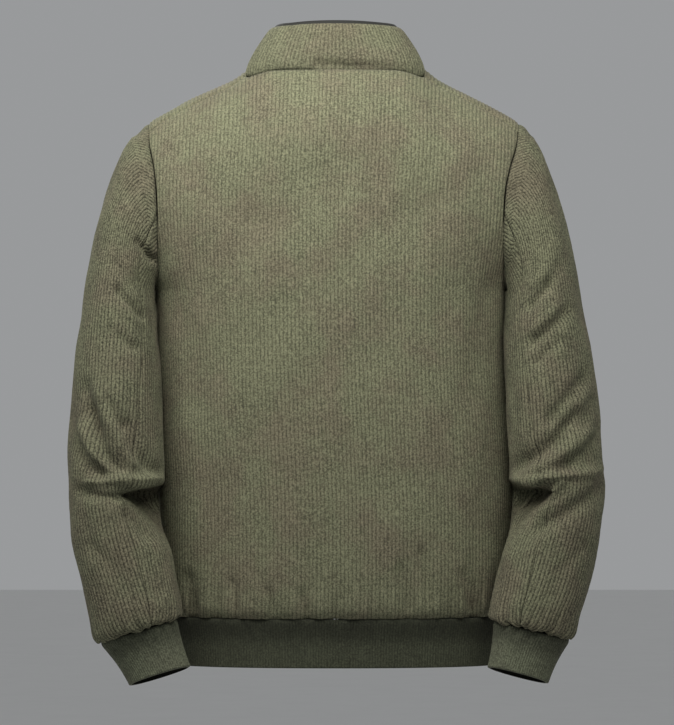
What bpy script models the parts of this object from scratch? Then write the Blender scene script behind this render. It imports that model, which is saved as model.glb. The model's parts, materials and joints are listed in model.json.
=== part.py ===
"""A worn corduroy zip jacket: stand collar, two-piece sleeves, knitted cuffs and hem band.

Every cloth piece is a thin closed wall laid on one shared form. The form is read from short tables of
sections, and neighbouring pieces share the points of their seam, each pulled back by half the seam gap.
The front faces -Y, the wearer's left arm is at +X, and Z = 0 is the height of the neck-shoulder points.
"""
import math
from collections import namedtuple

import bmesh
import bpy
import numpy as np
from mathutils import Matrix

# ---- cloth ----
CORDUROY = 0.0020          # wall of the corduroy pieces
KNIT = 0.0024              # wall of the cuffs and the hem band
FACING = 0.0013            # wall of the collar facing
TAPE = 0.0010              # wall of the zip tapes
SEAM_GAP = 0.0003          # between neighbouring pieces
EDGE_SLANT = 0.0015        # how far a wall's inner edge is held back from its outer edge

# ---- torso ----
HEM_SEAM = -0.622          # height of the seam between body and hem band
ARMPIT = -0.250            # height of the lowest point of the armholes
SQUARENESS = 2.3           # exponent of the torso's rounded sections
Section = namedtuple("Section", "height half_width back front shift")
TORSO = (
    Section(-0.6220, 0.1960, 0.1130, 0.1230, -0.0010),
    Section(-0.6060, 0.2015, 0.1185, 0.1290, -0.0015),
    Section(-0.5600, 0.2035, 0.1220, 0.1335, -0.0020),
    Section(-0.5000, 0.2040, 0.1235, 0.1355, -0.0020),
    Section(-0.4400, 0.2035, 0.1245, 0.1365, 0.0000),
    Section(-0.3700, 0.2010, 0.1245, 0.1370, 0.0025),
    Section(-0.3000, 0.2000, 0.1235, 0.1365, 0.0045),
    Section(-0.2500, 0.2015, 0.1220, 0.1350, 0.0050),
    Section(-0.2350, 0.2060, 0.1210, 0.1340, 0.0051),
    Section(-0.2000, 0.2190, 0.1185, 0.1310, 0.0052),
    Section(-0.1500, 0.2380, 0.1140, 0.1260, 0.0050),
    Section(-0.0900, 0.2500, 0.1090, 0.1200, 0.0025),
    Section(0.0200, 0.2500, 0.1060, 0.1160, -0.0010),
)

# ---- shoulders: the crest over which the back rounds into the front, by distance from the middle ----
Crest = namedtuple("Crest", "out height along back_rounding front_rounding")
CREST = (
    Crest(-0.050, 0.0298, -0.019, 0.130, 0.255),
    Crest(0.0000, 0.0342, -0.020, 0.130, 0.285),
    Crest(0.0500, 0.0298, -0.019, 0.130, 0.255),
    Crest(0.0725, 0.0240, -0.018, 0.130, 0.225),
    Crest(0.1025, 0.0045, -0.016, 0.130, 0.185),
    Crest(0.1173, -0.0065, -0.015, 0.130, 0.170),
    Crest(0.1540, -0.0240, -0.012, 0.130, 0.145),
    Crest(0.1850, -0.0396, -0.009, 0.130, 0.135),
    Crest(0.2125, -0.0563, -0.007, 0.130, 0.130),
    Crest(0.2500, -0.0880, -0.006, 0.130, 0.130),
)
ROUNDNESS = 2.1            # exponent of the rounding over the crest
SHOULDER_SEAM_Y = 0.024    # the shoulder seam lies this far along Y, behind the crest
SHOULDER_TIP = 0.2125      # half the width between the shoulder tips
Armhole = namedtuple("Armhole", "height back front")
ARMHOLE = (
    Armhole(-0.2500, 0.2015, 0.2015),
    Armhole(-0.2300, 0.1990, 0.1985),
    Armhole(-0.2000, 0.1972, 0.1930),
    Armhole(-0.1700, 0.1970, 0.1890),
    Armhole(-0.1400, 0.1985, 0.1890),
    Armhole(-0.1100, 0.2032, 0.1945),
    Armhole(-0.0850, 0.2095, 0.2060),
    Armhole(-0.0670, 0.2125, 0.2125),
)

# ---- neck and collar ----
NECK_HALF = 0.1025         # half-width of the neck seam
NECK_BACK_Y = 0.066
NECK_FRONT_Y = -0.098
COLLAR_HALF = 0.0745       # half-width of the collar's top edge
COLLAR_BACK = (0.0510, 0.0556)      # y and z of the top edge at the back
COLLAR_SIDE = (0.0040, 0.0525)
COLLAR_FRONT = (-0.0860, -0.0120)
COLLAR_LEAN = 1.5          # how late the collar leans in towards its top
FACING_STAND = 1.09        # the facing's top edge, as a share of the collar's height
FACING_SLANT = 0.0004
FACING_LAY = 0.0005        # between the collar and its facing
FACING_STEP = 0.0030       # the facing's ends stay this far from the zip tapes

# ---- hem band ----
BAND_BOTTOM = -0.6772
BAND_HALF = 0.1900
BAND_BACK = 0.1075
BAND_FRONT = 0.1170

# ---- zip ----
ZIP_HALF = 0.0075          # half the width between the two front edges
TAPE_INNER = 0.0023
TAPE_OUTER = 0.0125
TAPE_ROOM = 0.0003         # more room between the tapes and the cloth over them
CHAIN_HALF = 0.0019
CHAIN_WALL = 0.0022

# ---- inside points that the pieces' outer faces look away from ----
TORSO_CORE_TOP = -0.16
COLLAR_CORE_Y = -0.012
COLLAR_CORE_Z = (-0.03, 0.02)
ZIP_CORE_Y = 0.05

# ---- pieces' divisions ----
BODY_ROWS = 12             # hem seam to armpit
ARM_ROWS = 11              # armpit to shoulder
NECK_COLUMNS = 7           # centre to neck-shoulder point
SHOULDER_COLUMNS = 7       # neck-shoulder point to shoulder tip
COLLAR_ROWS = 5
BAND_ROWS = 3
NECK_GUIDES = 40           # columns of the form that the pieces are read from
SHOULDER_GUIDES = 24
SIDE_GUIDES = 40

Ring = namedtuple("Ring", "outer_x outer_z inner_x inner_z middle_y half_depth")
LEFT_ARM = (
    Ring(0.2367, -0.0748, 0.2078, -0.2521, 0.0060, 0.0690),
    Ring(0.2515, -0.1083, 0.2089, -0.2551, 0.0085, 0.0705),
    Ring(0.2652, -0.1453, 0.2096, -0.2601, 0.0120, 0.0725),
    Ring(0.2741, -0.1798, 0.2079, -0.2672, 0.0165, 0.0735),
    Ring(0.2818, -0.2229, 0.2057, -0.2812, 0.0225, 0.0740),
    Ring(0.2883, -0.2660, 0.2035, -0.3041, 0.0300, 0.0735),
    Ring(0.2948, -0.3175, 0.2002, -0.3399, 0.0390, 0.0725),
    Ring(0.2988, -0.3689, 0.1983, -0.3816, 0.0490, 0.0710),
    Ring(0.3033, -0.4142, 0.1966, -0.4211, 0.0570, 0.0695),
    Ring(0.3031, -0.4507, 0.1959, -0.4537, 0.0640, 0.0680),
    Ring(0.3024, -0.4711, 0.1957, -0.4711, 0.0680, 0.0665),
    Ring(0.3020, -0.4880, 0.1956, -0.4861, 0.0715, 0.0645),
    Ring(0.2996, -0.5219, 0.1939, -0.5155, 0.0790, 0.0600),
    Ring(0.2935, -0.5556, 0.1857, -0.5468, 0.0870, 0.0570),
    Ring(0.2841, -0.5893, 0.1786, -0.5761, 0.0950, 0.0550),
    Ring(0.2758, -0.6210, 0.1735, -0.6013, 0.1020, 0.0525),
    Ring(0.2708, -0.6405, 0.1724, -0.6149, 0.1055, 0.0480),
    Ring(0.2651, -0.6478, 0.1782, -0.6203, 0.1070, 0.0400),
)
RIGHT_ARM = (
    Ring(-0.2308, -0.0748, -0.1983, -0.2521, 0.0060, 0.0690),
    Ring(-0.2435, -0.1083, -0.1987, -0.2551, 0.0085, 0.0705),
    Ring(-0.2560, -0.1453, -0.1988, -0.2601, 0.0120, 0.0725),
    Ring(-0.2661, -0.1798, -0.1975, -0.2672, 0.0165, 0.0735),
    Ring(-0.2745, -0.2229, -0.1958, -0.2812, 0.0225, 0.0740),
    Ring(-0.2816, -0.2660, -0.1945, -0.3041, 0.0300, 0.0735),
    Ring(-0.2925, -0.3175, -0.1942, -0.3399, 0.0390, 0.0725),
    Ring(-0.2995, -0.3689, -0.1954, -0.3816, 0.0490, 0.0710),
    Ring(-0.3024, -0.4142, -0.1976, -0.4211, 0.0570, 0.0695),
    Ring(-0.3038, -0.4507, -0.1994, -0.4537, 0.0640, 0.0680),
    Ring(-0.3060, -0.4711, -0.2002, -0.4711, 0.0680, 0.0665),
    Ring(-0.3053, -0.4880, -0.2001, -0.4861, 0.0715, 0.0645),
    Ring(-0.3008, -0.5219, -0.1974, -0.5155, 0.0790, 0.0600),
    Ring(-0.2942, -0.5556, -0.1897, -0.5508, 0.0870, 0.0570),
    Ring(-0.2852, -0.5893, -0.1821, -0.5810, 0.0950, 0.0550),
    Ring(-0.2753, -0.6180, -0.1765, -0.6053, 0.1020, 0.0525),
    Ring(-0.2707, -0.6365, -0.1744, -0.6179, 0.1055, 0.0480),
    Ring(-0.2652, -0.6443, -0.1798, -0.6227, 0.1070, 0.0400),
)
SLEEVE_SQUARENESS = 2.15
FRONT_CORNER = 3.4         # about the elbow the section is squarer where its front faces the body
CORNER_PLACE = 11.3
CORNER_REACH = 2.6
ARMPIT_CORNER = 1.5        # how much squarer it is again at the armpit
ARMPIT_REACH = 5.0
SLEEVE_CLEARANCE = 0.0026  # between a hanging sleeve and the body
CLEARANCE_FADE = 0.030     # below the armpit, the height over which that room opens
ARMHOLE_CLEARANCE = 0.0010 # above it, the sleeve stays this far outside the armhole
SLEEVE_SLANT = 0.0024
ARM_JOIN = 5.0             # by this ring the sleeve's inner side has left the armhole's own shape
CAP_JOIN = 1.5             # and its outer side, where the sleeve head rounds over the shoulder
UNDER_COLUMNS = 5          # columns of the under sleeve on each side of the arm's inner line
SeamTrack = namedtuple("SeamTrack", "place back front spread")
# The under sleeve's share of the ring's back and front halves, down the arm. Below 1, `spread` gathers the
# front columns towards the seam, because the armhole's first step from the armpit is a wide one there.
SEAM_TRACK = (
    SeamTrack(0.0, UNDER_COLUMNS / ARM_ROWS, 0.455, 0.40),
    SeamTrack(1.5, 0.41, 0.455, 0.40),
    SeamTrack(3.5, 0.335, 0.45, 0.43),
    SeamTrack(5.5, 0.305, 0.44, 0.50),
    SeamTrack(8.0, 0.345, 0.43, 0.85),
    SeamTrack(11.0, 0.39, 0.41, 1.0),
    SeamTrack(18.0, 0.40, 0.40, 1.0),
)

# Rows along the sleeve, as places between the rings, close together where the elbow folds
SLEEVE_ROWS = (0.0, 0.7, 1.3, 2.0, 2.8, 3.6, 4.4, 5.2, 6.0, 6.8, 7.6, 8.3, 8.9, 9.4, 9.8, 10.1,
               10.35, 10.6, 10.85, 11.1, 11.4, 11.75, 12.15, 12.6, 13.2, 13.9, 14.6, 15.3, 15.9, 16.5, 17.0)

# The fold that the elbow makes on the inner side: a notch between the places `start` and `end`, deepest at
# `apex`. Above the apex it has a ceiling under a rounded lip, and below it a slanted edge that eases out.
# It is cut in from the back (1) and ends at `front`, on the way to the front (-1).
Notch = namedtuple("Notch", "start apex end depth ease front")
ELBOW_NOTCH = {1: Notch(10.75, 11.70, 14.05, 0.94, 2.0, -0.22), -1: Notch(10.50, 11.45, 14.15, 0.95, 1.8, 0.0)}
NOTCH_SQUARE = 0.35        # how squarely the notch is cut in, seen along the arm
NOTCH_SOFT = 0.12

# Troughs across the sleeves: from one point to the other, seen from behind (+1) or from in front (-1)
Trough = namedtuple("Trough", "face x0 z0 x1 z1 depth width")
TROUGHS = {
    1: (
        Trough(1, 0.298, -0.408, 0.267, -0.456, 0.0050, 0.011),
        Trough(1, 0.271, -0.391, 0.245, -0.452, 0.0055, 0.011),
        Trough(1, 0.233, -0.408, 0.203, -0.455, 0.0035, 0.010),
        Trough(1, 0.289, -0.480, 0.251, -0.490, 0.0035, 0.010),
        Trough(-1, 0.215, -0.455, 0.262, -0.430, 0.0040, 0.010),
        Trough(-1, 0.225, -0.520, 0.280, -0.492, 0.0040, 0.010),
    ),
    -1: (
        Trough(1, -0.267, -0.394, -0.208, -0.448, 0.0055, 0.011),
        Trough(1, -0.298, -0.414, -0.259, -0.444, 0.0035, 0.010),
        Trough(1, -0.280, -0.351, -0.243, -0.395, 0.0040, 0.010),
        Trough(1, -0.304, -0.467, -0.224, -0.519, 0.0045, 0.012),
        Trough(-1, -0.215, -0.450, -0.265, -0.428, 0.0040, 0.010),
        Trough(-1, -0.228, -0.525, -0.280, -0.495, 0.0040, 0.010),
    ),
}

# ---- cuffs ----
LEFT_CUFF_END = Ring(0.2313, -0.6957, 0.1632, -0.6741, 0.1180, 0.0270)
RIGHT_CUFF_END = Ring(-0.2402, -0.6932, -0.1721, -0.6751, 0.1180, 0.0270)
CUFF_ROWS = 4
CUFF_STEP = 0.995          # the cuff's seam edge, as a share of the sleeve's end
CUFF_TILT = 0.0042         # the open end stands this much higher at its back, and lower at its front


# ---------------------------------------------------------------- reading tables and curves

def smooth_read(keys, values, at):
    """Reads a table smoothly at the places `at`, with a cubic through its rows."""
    keys = np.asarray(keys, float)
    values = np.asarray(values, float)
    at = np.clip(np.asarray(at, float), keys[0], keys[-1])
    steps = np.diff(values) / np.diff(keys)
    slope = np.empty_like(values)
    slope[0], slope[-1] = steps[0], steps[-1]
    flat = steps[:-1] * steps[1:] <= 0
    mean = 2 * steps[:-1] * steps[1:] / np.where(flat, 1, steps[:-1] + steps[1:])
    slope[1:-1] = np.where(flat, 0, mean)
    i = np.clip(np.searchsorted(keys, at, side="right") - 1, 0, len(keys) - 2)
    span = keys[i + 1] - keys[i]
    t = (at - keys[i]) / span
    return ((2 * t**3 - 3 * t**2 + 1) * values[i] + (t**3 - 2 * t**2 + t) * span * slope[i]
            + (3 * t**2 - 2 * t**3) * values[i + 1] + (t**3 - t**2) * span * slope[i + 1])


def column(table, name, at):
    """Reads one named column of a table of sections at given heights."""
    return smooth_read([row.height for row in table], [getattr(row, name) for row in table], at)


def lengths(points):
    """Distance along a line of points, from its start to each point."""
    return np.concatenate([[0.0], np.cumsum(np.linalg.norm(np.diff(points, axis=0), axis=1))])


def at_lengths(points, wanted):
    """Points at the wanted distances along a line."""
    along = lengths(points)
    return np.stack([np.interp(wanted, along, points[:, k]) for k in range(3)], axis=1)


def spread(points, shares):
    """Points at the given shares of a line's length."""
    return at_lengths(points, np.asarray(shares) * lengths(points)[-1])


# ---------------------------------------------------------------- the torso's form

TOP = TORSO[-1]


def crest(name, x):
    """Reads one named column of the crest's table at distances from the middle."""
    return smooth_read([row.out for row in CREST], [getattr(row, name) for row in CREST], x)


def top_depth(x, face):
    """Depth of the torso's top section at a distance from the middle, along Y."""
    round_off = np.maximum(1 - (np.abs(x) / TOP.half_width) ** SQUARENESS, 0) ** (1 / SQUARENESS)
    return face * (TOP.back if face > 0 else TOP.front) * round_off


def rounding_place(x, y):
    """Where a point over the crest lies on the rounding: its face, and its angle from that face."""
    along = crest("along", x)
    face = np.where(y >= along, 1, -1)
    level = np.where(face > 0, top_depth(x, 1), top_depth(x, -1))
    share = np.clip((y - along) / (level - along), 0, 1)
    return face, np.arccos(share ** (ROUNDNESS / 2))


def height_over(x, y):
    """Height of the shoulder's rounded top at a place seen from above."""
    face, turn = rounding_place(x, y)
    depth = np.where(face > 0, crest("back_rounding", x), crest("front_rounding", x))
    return crest("height", x) - depth * (1 - np.sin(turn) ** (2 / ROUNDNESS))


def neck_seam(turn):
    """The neck seam: turn 0 at the middle of the back, pi at the middle of the front."""
    reach = np.cos(turn)
    back = np.maximum(reach, 0)
    front = np.maximum(-reach, 0)
    x = NECK_HALF * np.sin(turn)
    y = (SHOULDER_SEAM_Y + (NECK_BACK_Y - SHOULDER_SEAM_Y) * back
         + (NECK_FRONT_Y - SHOULDER_SEAM_Y) * front)
    return np.stack([x, y, height_over(np.abs(x), y)], axis=-1)


def upper_column(x, across, face):
    """One column of the torso above the armpit, up to the neck or shoulder seam.

    x is its distance from the middle near its top, across its place round the section (0 middle, 1 side),
    face 1 for the back and -1 for the front."""
    angle = across * math.pi / 2
    wide = math.sin(angle) ** (2 / SQUARENESS)
    deep = max(math.cos(angle), 0.0) ** (2 / SQUARENESS)
    if x < NECK_HALF:
        side_turn = math.asin(x / NECK_HALF)
        seam_y = neck_seam(np.asarray(side_turn if face > 0 else math.pi - side_turn))[1]
    else:
        seam_y = SHOULDER_SEAM_Y
    seam_face, seam_turn = rounding_place(np.asarray(x), np.asarray(seam_y))
    own = "back_rounding" if face > 0 else "front_rounding"
    other = "front_rounding" if face > 0 else "back_rounding"
    foot = crest("height", x) - crest(own, x)
    straight = np.linspace(ARMPIT, foot, 24, endpoint=False)
    top_turn = float(seam_turn) if seam_face == face else math.pi - float(seam_turn)
    turns = np.linspace(0, top_turn, 60)
    past = turns > math.pi / 2
    drop = np.where(past, crest(other, x), crest(own, x)) * (1 - np.sin(turns) ** (2 / ROUNDNESS))
    z = np.concatenate([straight, crest("height", x) - drop])
    keep = np.concatenate([np.ones(24), np.abs(np.cos(turns)) ** (2 / ROUNDNESS)])
    past = np.concatenate([np.zeros(24, bool), past])
    near = face * column(TORSO, "back" if face > 0 else "front", z)
    far = -face * column(TORSO, "front" if face > 0 else "back", z)
    depth = np.where(past, far, near) * deep
    along = crest("along", x)
    y = along + (depth - along) * keep
    width = column(TORSO, "half_width", z) * wide
    return np.stack([width, y, z], axis=1)


def guide_places():
    """Places round the half section, 0 in the middle to 1 at the side, with one at the neck's side."""
    neck = NECK_HALF * np.sin(np.linspace(0, math.pi / 2, NECK_GUIDES + 1))
    shoulder = np.linspace(NECK_HALF, SHOULDER_TIP, SHOULDER_GUIDES + 1)[1:]
    inner = np.concatenate([neck, shoulder])
    places = np.arcsin((inner / TOP.half_width) ** (SQUARENESS / 2)) * 2 / math.pi
    return np.concatenate([places, np.linspace(places[-1], 1, SIDE_GUIDES + 1)[1:]])


def body_rows(face, rows_below, rows_above):
    """The half torso as rows of guide points, from the hem seam up to the shoulder and neck."""
    across = guide_places()
    angle = across * math.pi / 2
    wide = np.sin(angle) ** (2 / SQUARENESS)
    deep = np.maximum(np.cos(angle), 0) ** (2 / SQUARENESS)
    name = "back" if face > 0 else "front"
    rows = []
    for z in np.linspace(HEM_SEAM, ARMPIT, rows_below + 1)[:-1]:
        x = column(TORSO, "half_width", z) * wide
        y = face * column(TORSO, name, z) * deep
        rows.append(np.stack([x, y, np.full_like(x, z)], axis=1))
    columns = [spread(upper_column(TOP.half_width * w, a, face), np.linspace(0, 1, rows_above + 1))
               for a, w in zip(across, wide)]
    upper = np.stack(columns, axis=1)
    return rows, list(upper)


def cut_at_armhole(row, face):
    """Ends a row of guide points where it meets the armhole."""
    edge = column(ARMHOLE, "back" if face > 0 else "front", row[:, 2])
    past = row[:, 0] - edge
    hits = np.nonzero((past[1:] > 0) & (past[:-1] <= 0))[0]
    if len(hits) == 0:
        return row
    i = hits[-1] if row[0, 2] < ARMPIT + 0.02 else hits[0]
    share = -past[i] / (past[i + 1] - past[i])
    end = row[i] + (row[i + 1] - row[i]) * share
    return np.vstack([row[: i + 1], end])


def body_panel(face, start):
    """Half of the torso as a grid of seam-to-seam points; start is the distance kept from the middle."""
    below, above = body_rows(face, BODY_ROWS, ARM_ROWS)
    above = [above[0]] + [cut_at_armhole(row, face) for row in above[1:]]
    top = above[-1]
    top_length = lengths(top)
    neck_at = np.interp(NECK_HALF, top[:, 0], top_length)
    first = np.interp(start, top[:, 0], top_length)
    total = top_length[-1]
    shares = np.concatenate([np.linspace(first, neck_at, NECK_COLUMNS + 1),
                             np.linspace(neck_at, total, SHOULDER_COLUMNS + 1)[1:]])
    shares = (shares - first) / (total - first)
    grid = []
    for row in below + above:
        along = lengths(row)
        begin = np.interp(start, row[:, 0], along)
        grid.append(at_lengths(row, begin + shares * (along[-1] - begin)))
    return np.array(grid)


def shift_middle(points):
    """Leans the whole torso a little to one side, by its height."""
    moved = points.copy()
    moved[..., 0] += column(TORSO, "shift", points[..., 2])
    return moved


def mirrored(grid):
    """The other side's half, with its columns still running away from the middle."""
    return grid * np.array([-1.0, 1.0, 1.0])


# ---------------------------------------------------------------- collar and hem band

def collar_point(turn, rise):
    """A point of the collar: turn round the neck, rise 0 at the seam and 1 at the top edge."""
    foot = neck_seam(turn)
    reach = np.cos(turn)
    back = np.maximum(reach, 0)
    front = np.maximum(-reach, 0)
    top_y = COLLAR_SIDE[0] + (COLLAR_BACK[0] - COLLAR_SIDE[0]) * back + (COLLAR_FRONT[0] - COLLAR_SIDE[0]) * front
    top_z = (COLLAR_SIDE[1] + (COLLAR_BACK[1] - COLLAR_SIDE[1]) * back**1.2
             + (COLLAR_FRONT[1] - COLLAR_SIDE[1]) * front**1.6)
    lean = rise**COLLAR_LEAN
    x = foot[..., 0] + (COLLAR_HALF * np.sin(turn) - foot[..., 0]) * lean
    y = foot[..., 1] + (top_y - foot[..., 1]) * lean
    z = foot[..., 2] + (top_z - foot[..., 2]) * rise
    return np.stack([x, y, z], axis=-1)


def neck_turns(back_grid, front_grid):
    """The turns of the neck seam's shared points, from the middle of the back to the front edge."""
    back = np.arcsin(np.clip(back_grid[-1, : NECK_COLUMNS + 1, 0] / NECK_HALF, 0, 1))
    front = math.pi - np.arcsin(np.clip(front_grid[-1, : NECK_COLUMNS + 1, 0] / NECK_HALF, 0, 1))
    return np.concatenate([back, front[::-1][1:]])


def band_grid(top):
    """The hem band, hung from the body's lowest row."""
    x_share = BAND_HALF / TORSO[0].half_width
    rows = []
    for fall in np.linspace(1, 0, BAND_ROWS + 1):
        row = top.copy()
        ease = 1 - (1 - fall) ** 2
        deep = np.where(top[:, 1] > 0, BAND_BACK / TORSO[0].back, BAND_FRONT / TORSO[0].front)
        row[:, 0] *= 1 + (x_share - 1) * ease
        row[:, 1] *= 1 + (deep - 1) * ease
        row[:, 2] = HEM_SEAM + (BAND_BOTTOM - HEM_SEAM) * fall
        rows.append(row)
    return np.array(rows)


# ---------------------------------------------------------------- sleeves

def ring_points(ring, shares, notch=0.0, corner=SLEEVE_SQUARENESS, front=0.0):
    """One ring of a sleeve. shares run from the armpit side (0) round the back (1), the outer side (2),
    the front (3) and back to the armpit side (4), as quarters of the ring's length."""
    dense = np.linspace(0, 2 * math.pi, 361)
    c, s = -np.cos(dense), np.sin(dense)
    power = 2 / np.where((c < 0) & (s < 0), corner, SLEEVE_SQUARENESS)
    wide = np.sign(c) * np.abs(c) ** power
    deep = np.sign(s) * np.abs(s) ** power
    inner = np.clip(-c, 0, 1) ** NOTCH_SQUARE
    from_back = 1 / (1 + np.exp(-(s - front) / NOTCH_SOFT))
    wide = wide * (1 - notch * inner * from_back * (c < 0))
    half = np.array([ring.outer_x - ring.inner_x, 0, ring.outer_z - ring.inner_z]) / 2
    middle = np.array([(ring.outer_x + ring.inner_x) / 2, ring.middle_y, (ring.outer_z + ring.inner_z) / 2])
    depth = deep[:, None] * np.array([0, ring.half_depth, 0])
    loop = middle + wide[:, None] * half + depth
    along = lengths((np.sign(c) * np.abs(c) ** power)[:, None] * half + depth)
    quarter = np.interp([0, math.pi / 2, math.pi, 3 * math.pi / 2, 2 * math.pi], dense, along)
    wanted = np.interp(shares, [0, 1, 2, 3, 4], quarter)
    return np.stack([np.interp(wanted, along, loop[:, k]) for k in range(3)], axis=1)


def read_ring(table, place):
    """A ring between the table's rows."""
    keys = np.arange(1, len(table) + 1)
    return Ring(*[float(smooth_read(keys, [getattr(row, name) for row in table], place)) for name in Ring._fields])


def notch_depth(notch, place):
    """How far the elbow's fold cuts in at a place along the sleeve."""
    rise = min(max((place - notch.start) / (notch.apex - notch.start), 0), 1)
    fall = min(max((notch.end - place) / (notch.end - notch.apex), 0), 1)
    return notch.depth * rise * rise * (3 - 2 * rise) * fall**notch.ease


def sleeve_shares(loop_count, place):
    """Where the columns lie round a ring: the seams of the two-piece sleeve keep their columns."""
    half = loop_count // 2
    index = np.arange(half + 1)
    places = [row.place for row in SEAM_TRACK]
    back, front, power = [float(smooth_read(places, [getattr(row, name) for row in SEAM_TRACK], place))
                          for name in ("back", "front", "spread")]
    back_shares = 2 * np.interp(index, [0, UNDER_COLUMNS, half], [0, back, 1])
    beneath = front * (np.minimum(index, UNDER_COLUMNS) / UNDER_COLUMNS) ** power
    beyond = (1 - front) * np.maximum(index - UNDER_COLUMNS, 0) / (half - UNDER_COLUMNS)
    front_shares = 2 * (beneath + beyond)
    return np.concatenate([back_shares, 4 - front_shares[::-1][1:]])


def corner_squareness(place):
    """How square a ring's front corner on the inner side is: under the armpit and about the elbow."""
    elbow = math.exp(-((place - CORNER_PLACE) / CORNER_REACH) ** 2)
    armpit = math.exp(-((place / ARMPIT_REACH) ** 2))
    return SLEEVE_SQUARENESS + (FRONT_CORNER - SLEEVE_SQUARENESS) * elbow + ARMPIT_CORNER * armpit


def keep_clear(points, side):
    """Moves a sleeve's points off the body's side, so that the two stay just clear of each other."""
    middle = column(TORSO, "shift", points[..., 2])
    depth = np.where(points[..., 1] > 0, column(TORSO, "back", points[..., 2]),
                     column(TORSO, "front", points[..., 2]))
    share = np.clip(1 - (np.abs(points[..., 1]) / depth) ** SQUARENESS, 0, 1) ** (1 / SQUARENESS)
    reach = column(TORSO, "half_width", points[..., 2]) * share
    room = SLEEVE_CLEARANCE * np.clip((ARMPIT - points[..., 2]) / CLEARANCE_FADE, 0, 1)
    edge = np.where(points[..., 1] > 0, column(ARMHOLE, "back", points[..., 2]),
                    column(ARMHOLE, "front", points[..., 2]))
    least = np.where(points[..., 2] < ARMPIT, reach + room, edge + ARMHOLE_CLEARANCE)
    out = side * (points[..., 0] - middle)
    pushed = np.maximum(out, least)
    moved = points.copy()
    moved[..., 0] = middle + side * pushed
    return moved


def press_troughs(points, outward, side):
    """Sinks the sleeve's troughs into its points, against the outward direction."""
    moved = points.copy()
    for trough in TROUGHS[side]:
        start = np.array([trough.x0, trough.z0])
        run = np.array([trough.x1, trough.z1]) - start
        flat = points[..., [0, 2]] - start
        share = np.clip((flat @ run) / (run @ run), 0, 1)
        away = np.linalg.norm(flat - share[..., None] * run, axis=-1)
        facing = np.clip(outward[..., 1] * trough.face * 1.6, 0, 1)
        sink = trough.depth * np.exp(-(away / trough.width) ** 2) * facing
        moved -= outward * sink[..., None]
    return moved


def sleeve_grid(loop, side):
    """The sleeve's rings of points, from the armhole's loop down to the cuff seam."""
    table = LEFT_ARM if side > 0 else RIGHT_ARM
    last = len(table)
    count = len(loop) - 1
    first = ring_points(read_ring(table, 1), sleeve_shares(count, 0), 0.0, corner_squareness(0))
    rows = [loop.copy()]
    inner = (1 + np.cos(sleeve_shares(count, 0) * math.pi / 2)) / 2
    join = CAP_JOIN + (ARM_JOIN - CAP_JOIN) * inner
    for place in np.array(SLEEVE_ROWS[1:]) * last / SLEEVE_ROWS[-1]:
        notch = notch_depth(ELBOW_NOTCH[side], place)
        front = ELBOW_NOTCH[side].front
        corner = corner_squareness(place)
        shares = sleeve_shares(count, place)
        outer_ring = ring_points(read_ring(table, max(place, 1)), shares, notch, corner, front)
        inner_place = place + max(0, 1 - place / ARM_JOIN)
        inner_ring = ring_points(read_ring(table, inner_place), shares, notch, corner, front)
        ring = outer_ring + (inner_ring - outer_ring) * inner[:, None]
        settle = np.minimum(place / join, 1.0)
        hold = (1 - settle) ** 2 * (1 + settle)
        rows.append(ring + (loop - first) * hold[:, None])
    grid = np.array(rows)
    grid[1:] = keep_clear(grid[1:], side)
    outward = face_out(grid_normals(grid, True), grid, grid[:, :-1].mean(axis=1))
    return press_troughs(grid, outward, side)


def cuff_grid(seam_ring, end, count):
    """A knitted cuff, from the sleeve's last ring to its open end."""
    middle = seam_ring[:-1].mean(axis=0)
    start = middle + (seam_ring - middle) * CUFF_STEP
    last = ring_points(end, sleeve_shares(count, len(LEFT_ARM)))
    last[:, 2] += CUFF_TILT * (last[:, 1] - end.middle_y) / end.half_depth
    rows = []
    for fall in np.linspace(0, 1, CUFF_ROWS + 1):
        ease = 1 - (1 - fall) ** 1.7
        rows.append(start * (1 - ease) + last * ease + (last - start).mean(axis=0) * (fall - ease))
    return np.array(rows)


# ---------------------------------------------------------------- closed walls

def grid_normals(grid, closed):
    """Unit normals of a grid of points."""
    if closed:
        ring = grid[:, :-1]
        across = np.roll(ring, -1, axis=1) - np.roll(ring, 1, axis=1)
        across = np.concatenate([across, across[:, :1]], axis=1)
    else:
        across = np.gradient(grid, axis=1)
    down = np.gradient(grid, axis=0)
    normal = np.cross(across, down)
    return normal / np.maximum(np.linalg.norm(normal, axis=-1, keepdims=True), 1e-12)


def step_in(grid, distance, closed):
    """Moves a grid's outer rows and columns inwards by a distance."""
    moved = grid.copy()

    def towards(edge, inner):
        line = inner - edge
        return edge + line / np.maximum(np.linalg.norm(line, axis=-1, keepdims=True), 1e-9) * distance

    moved[0] = towards(moved[0], grid[1])
    moved[-1] = towards(moved[-1], grid[-2])
    if not closed:
        moved[:, 0] = towards(moved[:, 0], moved[:, 1])
        moved[:, -1] = towards(moved[:, -1], moved[:, -2])
    return moved


def face_out(normal, grid, core):
    """Turns normals so that they look away from core, a line of points with one for each row."""
    return normal if np.sum(normal * (grid - core[:, None, :])) > 0 else -normal


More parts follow.
